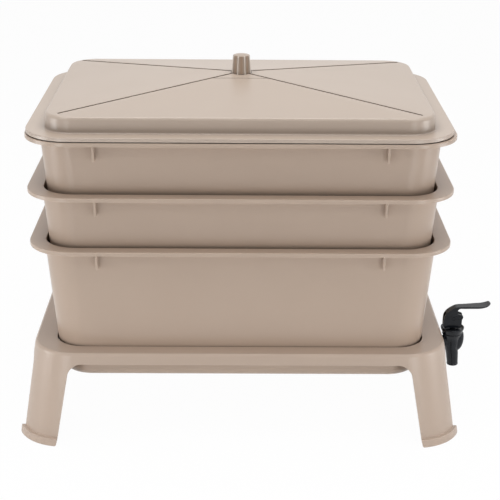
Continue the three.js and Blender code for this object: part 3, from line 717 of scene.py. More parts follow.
@dataclass(frozen=True)
class TrayForm:
    """The form that the collector and the working trays share: one rim, one body at the rim and one draft."""

    rim_half_x: float = 280.0
    rim_half_y: float = 195.0
    rim_radius: float = 59.0
    side_overhang: float = 19.0
    front_overhang: float = 15.5
    body_radius: float = 45.0
    wall: float = 2.5
    draft: float = math.tan(math.radians(4.4))
    rim_plate: float = 2.5
    skirt_drop: float = 5.4
    skirt_wall: float = 2.5
    rim_soft: float = 1.3
    lip_soft: float = 0.7
    mouth_soft: float = 1.3
    bottom_radius: float = 9.0
    pitch: float = 73.25
    tray_depth: float = 124.0
    fin_thickness: float = 3.2
    fin_drop: float = 28.0
    fin_top_reach: float = 13.0
    fin_foot_reach: float = 5.0
    fin_soft: float = 0.6
    fin_places: Pair = (187.5, 105.0)
    rib_thickness: float = 3.0
    rib_lap: float = 5.0
    rib_soft: float = 2.0
    rib_places: Pair = (150.0, 45.0)
    hole_radius: float = 3.2
    hole_columns: int = 9
    hole_rows: int = 5
    hole_margin: float = 34.0
    hole_sides: int = 24

    @property
    def body_half_x(self) -> float:
        """Half length of the body at the rim."""
        return self.rim_half_x - self.side_overhang

    @property
    def body_half_y(self) -> float:
        """Half width of the body at the rim."""
        return self.rim_half_y - self.front_overhang

    def body(self, rim: float, drop: float, inset: float, soft: float = 0.0) -> Station:
        """Give the body's level at a depth under the rim.

        Args:
            rim: Height of the rim's top.
            drop: Depth under it.
            inset: Distance inward from the outer skin.
            soft: Rounding of the section there.

        Returns:
            The level.
        """
        shrink = drop * self.draft + inset
        return Station(self.body_half_x - shrink, self.body_half_y - shrink, self.body_radius - inset,
                       rim - drop, soft)

    def edge(self, rim: float, drop: float, inset: float, soft: float = 0.0) -> Station:
        """Give the rim's level at a depth under its top.

        Args:
            rim: Height of the rim's top.
            drop: Depth under it.
            inset: Distance inward from its outer edge.
            soft: Rounding of the section there.

        Returns:
            The level.
        """
        return Station(self.rim_half_x - inset, self.rim_half_y - inset, self.rim_radius - inset,
                       rim - drop, soft)

    def shell(self, rim: float, depth: float, bottom_radius: float) -> Blank:
        """Mould the shell of a tray.

        Args:
            rim: Height of the rim's top.
            depth: Depth from there to the outside of the floor.
            bottom_radius: Outer radius of the bend between floor and wall.

        Returns:
            The closed mesh.
        """
        flat = bottom_radius + self.wall
        return moulded([
            self.body(rim, depth, flat),
            self.body(rim, depth, 0, bottom_radius),
            self.body(rim, self.rim_plate, 0, self.lip_soft),
            self.edge(rim, self.rim_plate, self.skirt_wall, self.lip_soft),
            self.edge(rim, self.skirt_drop, self.skirt_wall, self.lip_soft),
            self.edge(rim, self.skirt_drop, 0, self.lip_soft),
            self.edge(rim, 0, 0, self.rim_soft),
            self.body(rim, 0, self.wall, self.mouth_soft),
            self.body(rim, depth - self.wall, self.wall, bottom_radius - self.wall),
            self.body(rim, depth - self.wall, flat),
        ])

    def wall_places(self, places: Pair) -> list[tuple[Facing, float, float]]:
        """List two places on each wall, on the body's outer line at the rim.

        Args:
            places: Distance from the middle along the front and back walls, and along the side walls.

        Returns:
            The direction out of the wall with each place.
        """
        along_x, along_y = places
        spots = []
        for side in (-1, 1):
            spots += [(Facing.RIGHT, self.body_half_x, side * along_y),
                      (Facing.LEFT, -self.body_half_x, side * along_y),
                      (Facing.BACK, side * along_x, self.body_half_y),
                      (Facing.FRONT, side * along_x, -self.body_half_y)]
        return spots

    def plates(self, outline: list[Triple], thickness: float, places: Pair) -> list[Blank]:
        """Stand a plate at each place on the walls.

        Args:
            outline: Reach out of the wall, height and rounding of each corner.
            thickness: The plates' thickness.
            places: Where they stand along the walls.

        Returns:
            The plates.
        """
        spots = self.wall_places(places)
        return [prism(outline, thickness).bevelled(self.fin_soft, SMALL_BEVEL_STEPS)
                .turned(Matrix.Translation((x, y, 0)) @ Matrix.Rotation(facing.value, 4, "Z"))
                for facing, x, y in spots]

    def fins(self, rim: float) -> list[Blank]:
        """Make the tapered fins between the rim's underside and the wall.

        Args:
            rim: Height of the rim's top.

        Returns:
            The fins.
        """
        top = rim - self.rim_plate + JOIN_DEPTH
        foot = rim - self.fin_drop
        behind = -self.fin_drop * self.draft - JOIN_DEPTH
        outline = [(-JOIN_DEPTH, top, 0.0), (self.fin_top_reach, top, 0.0),
                   (self.fin_foot_reach, foot, 2 * self.fin_soft), (behind, foot, 0.0)]
        return self.plates(outline, self.fin_thickness, self.fin_places)

    def ribs(self, rim: float, depth: float) -> list[Blank]:
        """Make the ribs inside the wall whose tops carry the floor of the tray above.

        Args:
            rim: Height of the rim's top.
            depth: Depth from there to the outside of the floor.

        Returns:
            The ribs.
        """
        floor = depth - self.wall
        seat = self.tray_depth - self.pitch + SEAT_GAP
        reach = -self.tray_depth * self.draft - self.bottom_radius - self.rib_lap
        sunk = floor + JOIN_DEPTH
        outline = [
            (-seat * self.draft - JOIN_DEPTH, rim - seat, 0.0),
            (reach, rim - seat, self.rib_soft),
            (reach - (floor - seat) * self.draft, rim - sunk, 0.0),
            (-floor * self.draft - JOIN_DEPTH - self.bottom_radius, rim - sunk, 0.0),
            ((self.bottom_radius - floor) * self.draft - JOIN_DEPTH, rim - floor + self.bottom_radius, 0.0),
        ]
        return self.plates(outline, self.rib_thickness, self.rib_places)

    def drills(self, rim: float) -> list[Blank]:
        """Make the drills for the grid of holes in a working tray's floor.

        Args:
            rim: Height of the rim's top.

        Returns:
            The drills.
        """
        floor = rim - self.tray_depth
        half_x = self.body_half_x - self.tray_depth * self.draft - self.hole_margin
        half_y = self.body_half_y - self.tray_depth * self.draft - self.hole_margin
        low, high = floor - CUT_OVERRUN, floor + self.wall + CUT_OVERRUN
        return [rod(self.hole_radius, low, high, self.hole_sides).moved(
                    half_x * (2 * column / (self.hole_columns - 1) - 1),
                    half_y * (2 * row / (self.hole_rows - 1) - 1), 0)
                for column in range(self.hole_columns) for row in range(self.hole_rows)]

    def tray(self, rim: float, depth: float, bottom_radius: float) -> Blank:
        """Make a tray with its fins and ribs.

        Args:
            rim: Height of the rim's top.
            depth: Depth from there to the outside of the floor.
            bottom_radius: Outer radius of the bend between floor and wall.

        Returns:
            The closed mesh.
        """
        shell = self.shell(rim, depth, bottom_radius)
        return shell.shaped([gathered(self.fins(rim) + self.ribs(rim, depth))], Join.ADD)


@dataclass(frozen=True)
class WorkingTray:
    """A working tray: it hangs in the tray below and has a grid of holes in its floor."""

    node: str
    name: str
    body: Body
    form: TrayForm = field(default_factory=TrayForm)

    def mesh(self) -> Blank:
        """Mould the tray and drill its floor.

        Returns:
            The closed mesh.
        """
        rim = top_of(self.node)
        tray = self.form.tray(rim, self.form.tray_depth, self.form.bottom_radius)
        return tray.shaped([gathered(self.form.drills(rim))], Join.CUT)

    def dress(self) -> None:
        """Finish the tray and let it ride on its body."""
        finished(self.mesh(), self.name, self.node, self.body, TRAY_PLASTIC)


@dataclass(frozen=True)
class TapPlace:
    """Where the tap's shank goes through the collector's right wall."""

    x: float = 299.0
    y: float = -90.0
    shank_height: float = 101.0
    pad_radius: float = 14.5
    pad_outer_proud: float = 2.4
    pad_inner_proud: float = 2.0
    shank_radius: float = 8.5

    def pad_faces(self, form: TrayForm) -> Pair:
        """Find the inner and the outer face of the collector's pads along X.

        Args:
            form: The form of the trays.

        Returns:
            The two places, the inner one first.
        """
        wall = form.body_half_x - (top_of("collector_tray") - self.shank_height) * form.draft
        return wall - form.wall - self.pad_inner_proud, wall + self.pad_outer_proud

    def along_shank(self) -> Matrix:
        """Give the turn and move from the Z axis to the shank's axis."""
        return Matrix.Translation((0, self.y, self.shank_height)) @ Matrix.Rotation(QUARTER_TURN, 4, "Y")


@dataclass(frozen=True)
class Collector:
    """The deep lowest tray, with flat pads in its right wall for the tap."""

    form: TrayForm = field(default_factory=TrayForm)
    tap: TapPlace = field(default_factory=TapPlace)
    depth: float = 189.4
    bottom_radius: float = 12.0
    pad_soft: float = 0.8

    def mesh(self) -> Blank:
        """Mould the tray, add the pads and bore them.

        Returns:
            The closed mesh.
        """
        inner, outer = self.tap.pad_faces(self.form)
        pads = rod(self.tap.pad_radius, inner, outer).bevelled(self.pad_soft).turned(self.tap.along_shank())
        bore = rod(self.tap.shank_radius + SEAT_GAP, inner - CUT_OVERRUN, outer + CUT_OVERRUN)
        tray = self.form.tray(top_of("collector_tray"), self.depth, self.bottom_radius)
        tray.shaped([pads], Join.ADD)
        return tray.shaped([bore.turned(self.tap.along_shank())], Join.CUT)

    def dress(self) -> None:
        """Finish the collector; it is fast to the stand's body because of its tap."""
        finished(self.mesh(), "collector_moulding", "collector_tray", Body.BASE, TRAY_PLASTIC)


@dataclass(frozen=True)
class Lid:
    """The lid: a flange over the rim, a raised middle with a low pyramid top, and a rib underneath."""

    form: TrayForm = field(default_factory=TrayForm)
    vent_gap: float = 3.0
    half_x: float = 277.4
    half_y: float = 195.0
    shift_x: float = -1.2
    radius: float = 60.7
    flange: float = 3.4
    flange_soft: float = 1.4
    brim: float = 2.6
    brim_drop: float = 1.7
    brim_soft: Pair = (FINE, SMALL)
    raised_half_x: float = 252.4
    raised_half_y: float = 174.0
    raised_radius: float = 37.5
    raised_height: float = 24.3
    raised_draft: float = 1.2
    raised_foot_soft: float = 2.2
    shoulder: float = 4.2
    apex_height: float = 45.4
    peak_share: float = 0.03
    sheet: float = 2.8
    fit: float = 1.0
    rib_wall: float = 2.2
    rib_drop: float = 11.0
    groove_width: float = 3.8
    groove_back_width: float = 5.2
    groove_depth: float = 2.2
    groove_end_inset: float = 5.0
    groove_back_inset: float = 1.5
    line_reach: float = 27.2
    line_width: float = 1.4
    line_depth: float = 0.8
    spacer: Pair = (14.0, 6.0)
    spacer_places: Pair = (120.0, 70.0)
    seat_radius: float = 14.3
    seat_drop: float = 2.4
    screw_radius: float = 2.3

    @property
    def foot(self) -> float:
        """Height of the flange's underside."""
        return top_of("top_working_tray") + self.vent_gap

    def flange_level(self, inset: float, z: float, soft: float = 0.0) -> Station:
        """Give a level of the flange at an inset and a height over its underside."""
        return Station(self.half_x - inset, self.half_y - inset, self.radius - inset, self.foot + z, soft)

    def raised_level(self, inset: float, z: float, soft: float = 0.0) -> Station:
        """Give a level of the raised middle at an inset and a height over the flange's underside."""
        return Station(self.raised_half_x - inset, self.raised_half_y - inset, self.raised_radius - inset,
                       self.foot + z, soft)

    def rib_level(self, inset: float, z: float, soft: float = 0.0) -> Station:
        """Give a level of the rib that drops into the top tray's mouth."""
        shrink = self.form.wall + self.fit + inset
        return Station(self.form.body_half_x - shrink, self.form.body_half_y - shrink,
                       self.form.body_radius - shrink, self.foot + z, soft)

    @property
    def top_inset(self) -> float:
        """How far in the sloping top starts, past the raised middle's round shoulder."""
        return self.raised_draft + self.shoulder

    def peak_level(self, z: float) -> Station:
        """Give the small level that closes the peak, under the knob.

        Args:
            z: Height over the top's surface.

        Returns:
            The level.
        """
        share = self.peak_share
        sizes = (share * (size - self.top_inset)
                 for size in (self.raised_half_x, self.raised_half_y, self.raised_radius))
        fall = share * (self.apex_height - self.raised_height)
        return Station(*sizes, self.foot + self.apex_height - fall + z)

    def shell(self) -> Blank:
        """Mould the lid's shell, from the middle of its underside outward and back over its top.

        Returns:
            The closed mesh.
        """
        inner = self.raised_draft + self.sheet
        under = self.raised_height - self.sheet
        root, edge = self.brim_soft
        return moulded([
            self.peak_level(-self.sheet),
            self.raised_level(inner, under, self.shoulder),
            self.raised_level(self.sheet, 0),
            self.rib_level(self.rib_wall, 0),
            self.rib_level(self.rib_wall, -self.rib_drop, EASED),
            self.rib_level(0, -self.rib_drop, EASED),
            self.rib_level(0, 0),
            self.flange_level(self.brim, 0),
            self.flange_level(self.brim, -self.brim_drop, root),
            self.flange_level(0, -self.brim_drop, edge),
            self.flange_level(0, self.flange, self.flange_soft),
            self.raised_level(0, self.flange, self.raised_foot_soft),
            self.raised_level(self.raised_draft, self.raised_height, self.shoulder),
            self.peak_level(0),
        ])

    def grooves(self) -> list[Blank]:
        """Make the bars that cut the grooves down the hips, and the fine lines before and behind the knob.

        Returns:
            The bars.
        """
        corner = (self.raised_radius - self.top_inset) * (1 - math.cos(math.pi / 4))
        run_x = self.raised_half_x - self.top_inset - corner
        run_y = self.raised_half_y - self.top_inset - corner
        reach = math.hypot(run_x, run_y)
        rise = self.apex_height - self.raised_height
        slope = Matrix.Rotation(math.atan(rise / reach), 4, "Y")
        peak = self.foot + self.apex_height
        bars = []
        for side_x, side_y in CORNERS:
            turn = Matrix.Rotation(math.atan2(side_y * run_y, side_x * run_x), 4, "Z")
            end = reach - (self.groove_back_inset if side_y > 0 else self.groove_end_inset)
            width = self.groove_back_width if side_y > 0 else self.groove_width
            bar = self.bar(self.seat_radius - JOIN_DEPTH, end, width, self.groove_depth)
            bars.append(bar.turned(Matrix.Translation((0, 0, peak)) @ turn @ slope))
        share = self.line_reach / run_y
        for side in (-1, 1):
            line = self.bar(-share * run_x, share * run_x, self.line_width, self.line_depth)
            bars.append(line.moved(0, side * self.line_reach, peak - share * rise))
        return bars

    def bar(self, start: float, end: float, width: float, depth: float) -> Blank:
        """Make a bar that cuts a straight-sided groove along X, with a little clearance over the surface.

        Args:
            start: Where the groove starts.
            end: Where it ends.
            width: Width of the groove.
            depth: Its depth.

        Returns:
            The bar.
        """
        return slab((start, -width / 2, -depth), (end, width / 2, CUT_OVERRUN))

    def spacers(self) -> list[Blank]:
        """Make the small pads that hold the flange off the rim, so that air passes all round.

        Returns:
            The pads.
        """
        low, high = self.foot - self.vent_gap + SEAT_GAP, self.foot + JOIN_DEPTH
        length, width = self.spacer
        place_x, place_y = self.spacer_places
        inner_x = self.form.body_half_x - self.form.wall + width / 2
        inner_y = self.form.body_half_y - self.form.wall + width / 2
        blocks = []
        for side_x, side_y in CORNERS:
            near_x = inner_x if side_x > 0 else -inner_x - width
            near_y = inner_y if side_y > 0 else -inner_y - width
            along_x = slab((-length / 2, 0, low), (length / 2, width, high))
            along_y = slab((0, -length / 2, low), (width, length / 2, high))
            blocks += [along_x.moved(side_x * place_x, near_y, 0), along_y.moved(near_x, side_y * place_y, 0)]
        return blocks

    @property
    def hub_foot(self) -> float:
        """Height of the hub's underside, where the washer bears."""
        return self.hub_top - self.sheet - JOIN_DEPTH

    @property
    def hub_top(self) -> float:
        """Height of the round seat in which the knob stands."""
        return self.foot + self.apex_height - self.seat_drop

    def mesh(self) -> Blank:
        """Mould the lid with its grooves, the knob's seat and its spacers.

        Returns:
            The closed mesh.
        """
        hub = rod(self.seat_radius, self.hub_foot, self.hub_top + JOIN_DEPTH)
        hub.bevelled(SMALL, SMALL_BEVEL_STEPS)
        over = self.foot + self.apex_height + CUT_OVERRUN
        seat = rod(self.seat_radius, self.hub_top, over)
        bore = rod(self.screw_radius + SEAT_GAP, self.hub_foot - CUT_OVERRUN, over)
        lid = self.shell().shaped(self.grooves(), Join.CUT).moved(self.shift_x, 0, 0)
        lid.shaped([hub, gathered(self.spacers())], Join.ADD)
        return lid.shaped([seat, bore], Join.CUT)

    def dress(self) -> None:
        """Finish the lid and let it ride on its body."""
        finished(self.mesh(), "lid_moulding", "lid", Body.LID, LID_PLASTIC)


@dataclass(frozen=True)
class Knob:
    """The knob with narrow ridges between hollow panels, and its screw and washer.

    The foot's levels give inset and rise, those of the crown inset, drop and the share of the panels' depth,
    and those of the cap inset and drop.
    """

    lid: Lid = field(default_factory=Lid)
    base_radius: float = 14.2
    top_radius: float = 12.6
    foot_levels: tuple[Pair, ...] = ((0.5, 0.0), (0.0, 0.5), (0.1, 3.0))
    crown_levels: tuple[Triple, ...] = (
        (0.0, 3.2, 1.0), (0.2, 2.2, 0.8), (0.9, 1.0, 0.5), (2.0, 0.3, 0.2), (3.2, 0.0, 0.0))
    cap_radius: float = 6.0
    cap_rise: float = 0.8
    cap_levels: tuple[Pair, ...] = ((-0.6, 0.8), (0.0, 0.65), (0.5, 0.2), (1.2, 0.0))
    ridges: int = 8
    ridge_steps: int = 20
    ridge_power: float = 24.0
    panel_depth: float = 1.9
    washer_radius: float = 7.5
    washer_thickness: float = 1.4
    screw_radius: float = 2.3
    screw_bite: float = 15.0
    thread_pitch: float = 1.6
    thread_depth: float = 0.35
    head_radius: float = 4.6
    head_height: float = 3.2
    head_soft: float = 0.6
    point_radius: float = 0.3
    slot_width: float = 1.2
    slot_depth: float = 1.6

    @property
    def foot(self) -> float:
        """Height of the knob's foot, just over the lid's hub."""
        return self.lid.hub_top + SEAT_GAP

    def levels(self) -> list[Triple]:
        """List the knob's levels, from the foot over the grip and the crown to the cap in its top.

        Returns:
            Radius, height and depth of the panels at each level.
        """
        foot = self.foot
        top = top_of("lid_knob")
        crown = top - self.cap_rise
        deep = self.panel_depth
        return [
            *((self.base_radius - inset, foot + rise, deep) for inset, rise in self.foot_levels),
            ((self.base_radius + self.top_radius) / 2, (foot + crown) / 2, deep),
            *((self.top_radius - inset, crown - drop, share * deep)
              for inset, drop, share in self.crown_levels),
            *((self.cap_radius - inset, top - drop, 0.0) for inset, drop in self.cap_levels),
        ]

    def grip(self) -> Blank:
        """Shape the knob's outside and bore it for the screw.

        Returns:
            The closed mesh.
        """
        loops = []
        for radius, z, depth in self.levels():
            loop = []
            for turn in turns_round(self.ridges * self.ridge_steps):
                ridge = abs(math.cos(self.ridges / 2 * (turn + math.pi / self.ridges))) ** self.ridge_power
                r = radius - depth * (1 - ridge)
                loop.append(Vector((r * math.cos(turn), r * math.sin(turn), z)))
            loops.append(loop)
        high = self.foot + self.screw_bite + CUT_OVERRUN
        bore = rod(self.screw_radius + SEAT_GAP, self.foot - CUT_OVERRUN, high)
        return skin(loops).shaped([bore], Join.CUT)

    def screw(self, head_top: float, tip: float) -> Blank:
        """Turn the screw with its thread and cut the cross in its head.

        Args:
            head_top: Height of the head's upper face.
            tip: Height of the point.

        Returns:
            The screw.
        """
        foot = head_top - self.head_height
        chamfer = self.head_height / 2
        root = self.screw_radius - self.thread_depth
        profile = [(0.0, foot, 0.0), (self.head_radius - chamfer, foot, SMALL),
                   (self.head_radius, foot + chamfer, self.head_soft), (self.head_radius, head_top, CRISP),
                   (self.screw_radius, head_top, 0.0)]
        z = head_top + self.thread_pitch
        while z < tip - 2 * self.thread_pitch:
            profile += [(root, z, 0.0), (self.screw_radius, z + self.thread_pitch / 2, 0.0)]
            z += self.thread_pitch
        profile += [(root, tip - self.screw_radius, 0.0), (self.point_radius, tip, 0.0), (0.0, tip, 0.0)]
        half = self.slot_width / 2
        arm = self.head_radius / 2
        cross = [slab((-arm, -half, foot - CUT_OVERRUN), (arm, half, foot + self.slot_depth))
                 .turned(Matrix.Rotation(turn, 4, "Z")) for turn in (0, QUARTER_TURN)]
        return lathed(profile).shaped(cross, Join.CUT)

    def dress(self) -> None:
        """Finish the knob, the washer and the screw, which all ride with the lid."""
        finished(self.grip(), "knob_moulding", "lid_knob", Body.LID, KNOB_PLASTIC)
        high = self.lid.hub_foot - SEAT_GAP
        low = high - self.washer_thickness
        inner = self.screw_radius + SEAT_GAP
        ring = [(inner, low, 0.0), (self.washer_radius, low, FINE), (self.washer_radius, high, FINE),
                (inner, high, 0.0)]
        finished(lathed(ring, ring=True), "knob_washer_ring", "knob_washer", Body.LID, STEEL)
        screw = self.screw(low - SEAT_GAP, self.foot + self.screw_bite)
        finished(screw, "knob_screw_turned", "knob_screw", Body.LID, STEEL)


@dataclass(frozen=True)
class Stand:
    """The stand: one moulding with a plate, a collar round the collector, aprons and four splayed legs.

    The outset of the feet is given along X and Y, and an arch by its half width at the top and at the floor.
    """

    form: TrayForm = field(default_factory=TrayForm)
    height: float = 127.2
    half_x: float = 279.6
    half_y: float = 193.5
    radius: float = 58.0
    floor_outset: Pair = (20.4, 18.6)
    floor_radius: float = 62.0
    wall: float = 3.0
    opening_radius: float = 37.5
    edge_soft: float = 5.0
    apron_drop: float = 14.9
    floor_soft: float = 0.8
    opening_soft: float = 0.9
    collar_drop: float = 10.0
    collar_wall: float = 2.5
    lip: float = 4.8
    lip_height: float = 10.0
    lip_root: float = 1.5
    lip_soft: float = 2.2
    lip_segments: int = 4
    return_depth: float = 8.0
    return_wall: float = 2.5
    arch_front: Pair = (228.4, 247.8)
    arch_side: Pair = (154.0, 172.0)
    arch_radius: float = 17.0
    arch_steps: int = 12
    foot_round: float = 3.5
    floor_clearance: float = 0.02
    cut_soft: float = 0.9

    def outer(self, inset: float, z: float, soft: float = 0.0) -> Station:
        """Give a level of the splayed skirt.

        Args:
            inset: Distance inward from the outer skin.
            z: Height over the floor.
            soft: Rounding of the section there.

        Returns:
            The level.
        """
        share = (self.height - z) / self.height
        radius = self.radius + share * (self.floor_radius - self.radius)
        return Station(self.half_x + share * self.floor_outset[0] - inset,
                       self.half_y + share * self.floor_outset[1] - inset, radius - inset, z, soft)

    def opening(self, outset: float, z: float, rim: float, soft: float = 0.0) -> Station:
        """Give a level of the opening round the collector's body."""
        level = self.form.body(rim, rim - z, -SEAT_GAP - outset, soft)
        return replace(level, radius=self.opening_radius + outset)

    def shell(self) -> Blank:
        """Mould the ring and the skirt before the arches are cut.

        Returns:
            The closed mesh.
        """
        rim = top_of("collector_tray")
        plate = self.height - self.wall
        low = self.height - self.collar_drop
        return moulded([
            self.outer(self.wall, 0),
            self.outer(0, 0, self.floor_soft),
            self.outer(0, self.height, self.edge_soft),
            self.opening(0, self.height, rim, self.opening_soft),
            self.opening(0, low, rim, SMALL),
            self.opening(self.collar_wall, low, rim, SMALL),
            self.opening(self.collar_wall, plate, rim),
            self.outer(self.wall, plate),
        ], ring=True)

    def band(self, near: float, far: float, high: float) -> Blank:
        """Mould a plain band round the skirt from the floor up, between two insets."""
        section = ((far, 0), (near, 0), (near, high), (far, high))
        return moulded([self.outer(inset, z) for inset, z in section], ring=True)

    def arch(self, halves: Pair, spread: float = 0.0) -> Blank:
        """Make the cutter of a tapering opening between two legs.

        Args:
            halves: Half width of the opening at its top and at the floor.
            spread: How far the cutter is widened to each side and upward.

        Returns:
            The cutter.
        """
        top_half, floor_half = (half + spread for half in halves)
        top = self.height - self.apron_drop + spread
        wide = floor_half + self.foot_round + SEAT_GAP
        near = -self.floor_clearance
        right = [(wide, -CUT_OVERRUN, 0.0), (wide, near, 0.0), (floor_half, near, self.foot_round),
                 (top_half, top, self.arch_radius)]
        outline = [(-x, z, soft) for x, z, soft in right] + right[::-1]
        reach = self.half_x + self.floor_outset[0] + self.lip + CUT_OVERRUN
        return prism(outline, 2 * reach, self.arch_steps)

    def arches(self, spread: float = 0.0) -> list[Blank]:
        """Make the cutters of the front and back opening and of the side openings."""
        return [self.arch(self.arch_front, spread),
                self.arch(self.arch_side, spread).turned(Matrix.Rotation(QUARTER_TURN, 4, "Z"))]

    def mesh(self) -> Blank:
        """Mould the stand, cut its openings, and add the lips on its feet and the edges turned inward.

        Returns:
            The closed mesh.
        """
        stand = self.shell().shaped(self.arches(), Join.CUT).bevelled(self.cut_soft)
        lip = self.band(self.lip_root, -self.lip, self.lip_height).shaped(self.arches(), Join.CUT)
        stand.shaped([lip.bevelled(self.lip_soft, self.lip_segments)], Join.ADD)
        plate = self.height - self.wall
        for wide in self.arches(self.return_wall):
            edge = self.band(self.wall / 2, self.return_depth, plate).shaped([wide], Join.KEEP_COMMON)
            stand.shaped([edge.shaped(self.arches(), Join.CUT)], Join.ADD)
        return stand

    def dress(self) -> None:
        """Finish the stand."""
        finished(self.mesh(), "stand_moulding", "stand", Body.BASE, STAND_PLASTIC)


@dataclass(frozen=True)
class Tap:
    """The tap: shank through the collector's wall, drop spout, bonnet, stem and lever.

    Levels of the flare and the tip give how far they lie in or out, their distance from that end and their
    rounding. The points of the lever's outline give reach and height from its pin, and rounding.
    """

    form: TrayForm = field(default_factory=TrayForm)
    place: TapPlace = field(default_factory=TapPlace)
    shank_bore: float = 5.5
    shank_reach: float = 8.0
    shank_chamfer: float = 0.8
    thread_pitch: float = 2.0
    thread_depth: float = 0.5
    flange_radius: float = 14.0
    flange: float = 3.0
    washer_radius: float = 12.5
    washer_thickness: float = 2.4
    nut_radius: float = 13.5
    nut_thickness: float = 7.0
    nut_sides: int = 6
    nut_soft: float = 0.8
    chamber_waist: float = 9.1
    chamber_radius: float = 11.0
    chamber_bore: float = 7.6
    seat_drop: float = 9.0
    top_rise: float = 13.5
    flare_radius: float = 14.6
    flare_height: float = 8.0
    flare_levels: tuple[Triple, ...] = ((0.4, 0.6, SMALL), (0.8, 0.0, FINE), (2.0, 0.0, 0.0))
    body_soft: float = 3.0
    spout_top_radius: float = 8.8
    spout_tip_radius: float = 7.8
    spout_bore: float = 5.4
    tip_levels: tuple[Triple, ...] = ((-1.4, 0.0, 0.0), (0.0, 0.0, 0.9), (0.3, 2.2, EASED), (0.0, 2.8, SMALL))
    tip_drop: float = 35.3
    shoulder_drop: float = 7.0
    lean: float = 3.0
    bulge_half: Triple = (10.0, 7.0, 19.5)
    bulge_shift: float = 7.0
    bulge_rise: float = 5.0
    bulge_rings: int = 32
    bulge_sides: int = 64
    bonnet_radius: float = 16.4
    bonnet_waist: float = 13.8
    bonnet_swell: Triple = (15.2, 4.0, 3.0)
    bonnet_height: float = 9.0
    bonnet_rim_height: float = 1.6
    bonnet_rim_width: float = 1.2
    bonnet_recess: float = 2.4
    bonnet_softs: Triple = (0.9, EASED, 1.0)
    plug_drop: float = 5.0
    stem_radius: float = 3.0
    slide_gap: float = 0.4
    disc_radius: float = 4.4
    disc: float = 2.0
    tongue_half: float = 5.0
    tongue_width: float = 5.6
    tongue_top: float = 5.0
    pin_rise: float = 14.0
    cup_radius: float = 6.6
    cup_height: float = 6.0
    cup_crown: float = 2.0
    cup_softs: Pair = (1.2, 0.6)
    pin_radius: float = 2.0
    pin_inset: float = 0.3
    lever_width: float = 12.0
    lever_back: float = 13.6
    lever_front: float = 11.8
    heel_soft: float = 3.0
    hook: float = 13.2
    hook_foot: float = -1.5
    hook_heights: Pair = (1.0, 4.8)
    hook_softs: Triple = (0.8, 1.2, 1.6)
    notch: Triple = (5.4, 7.4, 0.8)
    throat_soft: float = 5.0
    belly: Triple = (14.7, 15.3, 2.0)
    blade: Triple = (41.0, 16.8, 7.0)
    blade_depth: float = 2.2
    lever_reach: float = 51.3
    tip_rise: float = 23.0
    tip_depth: float = 0.9
    tip_softs: Pair = (EASED, 1.0)
    crown: Triple = (5.3, 17.8, 5.0)
    back_line: tuple[Pair, ...] = (
        (0.6, 16.2), (-4.8, 13.0), (-9.4, 9.4), (-13.0, 3.5))
    back_foot: float = -2.3
    back_soft: float = 3.0
    paddle_reach: float = 36.0
    paddle_half: float = 8.6
    paddle_soft: float = 6.0
    paddle_steps: int = 10
    edge_soft: float = 0.9
    edge_angle: float = math.radians(50)
    side_lines: Pair = (3.0, -0.1)
    side_line: float = 0.5

    @property
    def chamber_top(self) -> float:
        """Height of the body's upper face."""
        return self.place.shank_height + self.top_rise

    @property
    def seat_height(self) -> float:
        """Height of the valve's seat."""
        return self.place.shank_height - self.seat_drop

    @property
    def bonnet_top(self) -> float:
        """Height of the bonnet's upper edge."""
        return self.chamber_top + self.bonnet_height

    @property
    def pin_height(self) -> float:
        """Height of the lever's pin."""
        return self.bonnet_top + self.pin_rise

    def over_axis(self, blank: Blank, z: float = 0.0) -> Blank:
        """Move a blank from the Z axis to the tap's upright axis."""
        return blank.moved(self.place.x, self.place.y, z)

    def circle(self, radius: float, z: float, shift: float = 0.0) -> list[Vector]:
        """Draw a level circle round the tap's upright axis."""
        x = self.place.x + shift
        return [Vector((x + radius * math.cos(turn), self.place.y + radius * math.sin(turn), z))
                for turn in turns_round(ROUND_SIDES)]

    def upright(self, profile: list[tuple[float, float, float, float]]) -> Blank:
        """Skin circles round the upright axis.

        Args:
            profile: Radius, height, sideways shift and rounding of each level.

        Returns:
            The closed mesh.
        """
        run = softened([(Vector((r, z, shift)), soft) for r, z, shift, soft in profile], False, SPOUT_STEPS)
        return skin([self.circle(r, z, shift) for r, z, shift in run])

    def swelling(self) -> Blank:
        """Make the bulge at the chamber's outer side, level with the chamber's top.

        Returns:
            The closed mesh.
        """
        half_x, half_y, half_z = self.bulge_half
        turns = [math.pi * step / self.bulge_rings for step in range(self.bulge_rings + 1)]
        ball = lathed([(math.sin(turn), -math.cos(turn), 0.0) for turn in turns], self.bulge_sides)
        ball.turned(Matrix.Diagonal((half_x, half_y, half_z, 1)))
        middle = self.place.shank_height + self.bulge_rise
        reach = half_x + CUT_OVERRUN
        over = slab((-reach, -reach, self.chamber_top - middle), (reach, reach, half_z + CUT_OVERRUN))
        return self.over_axis(ball.shaped([over], Join.CUT).moved(self.bulge_shift, 0, 0), middle)

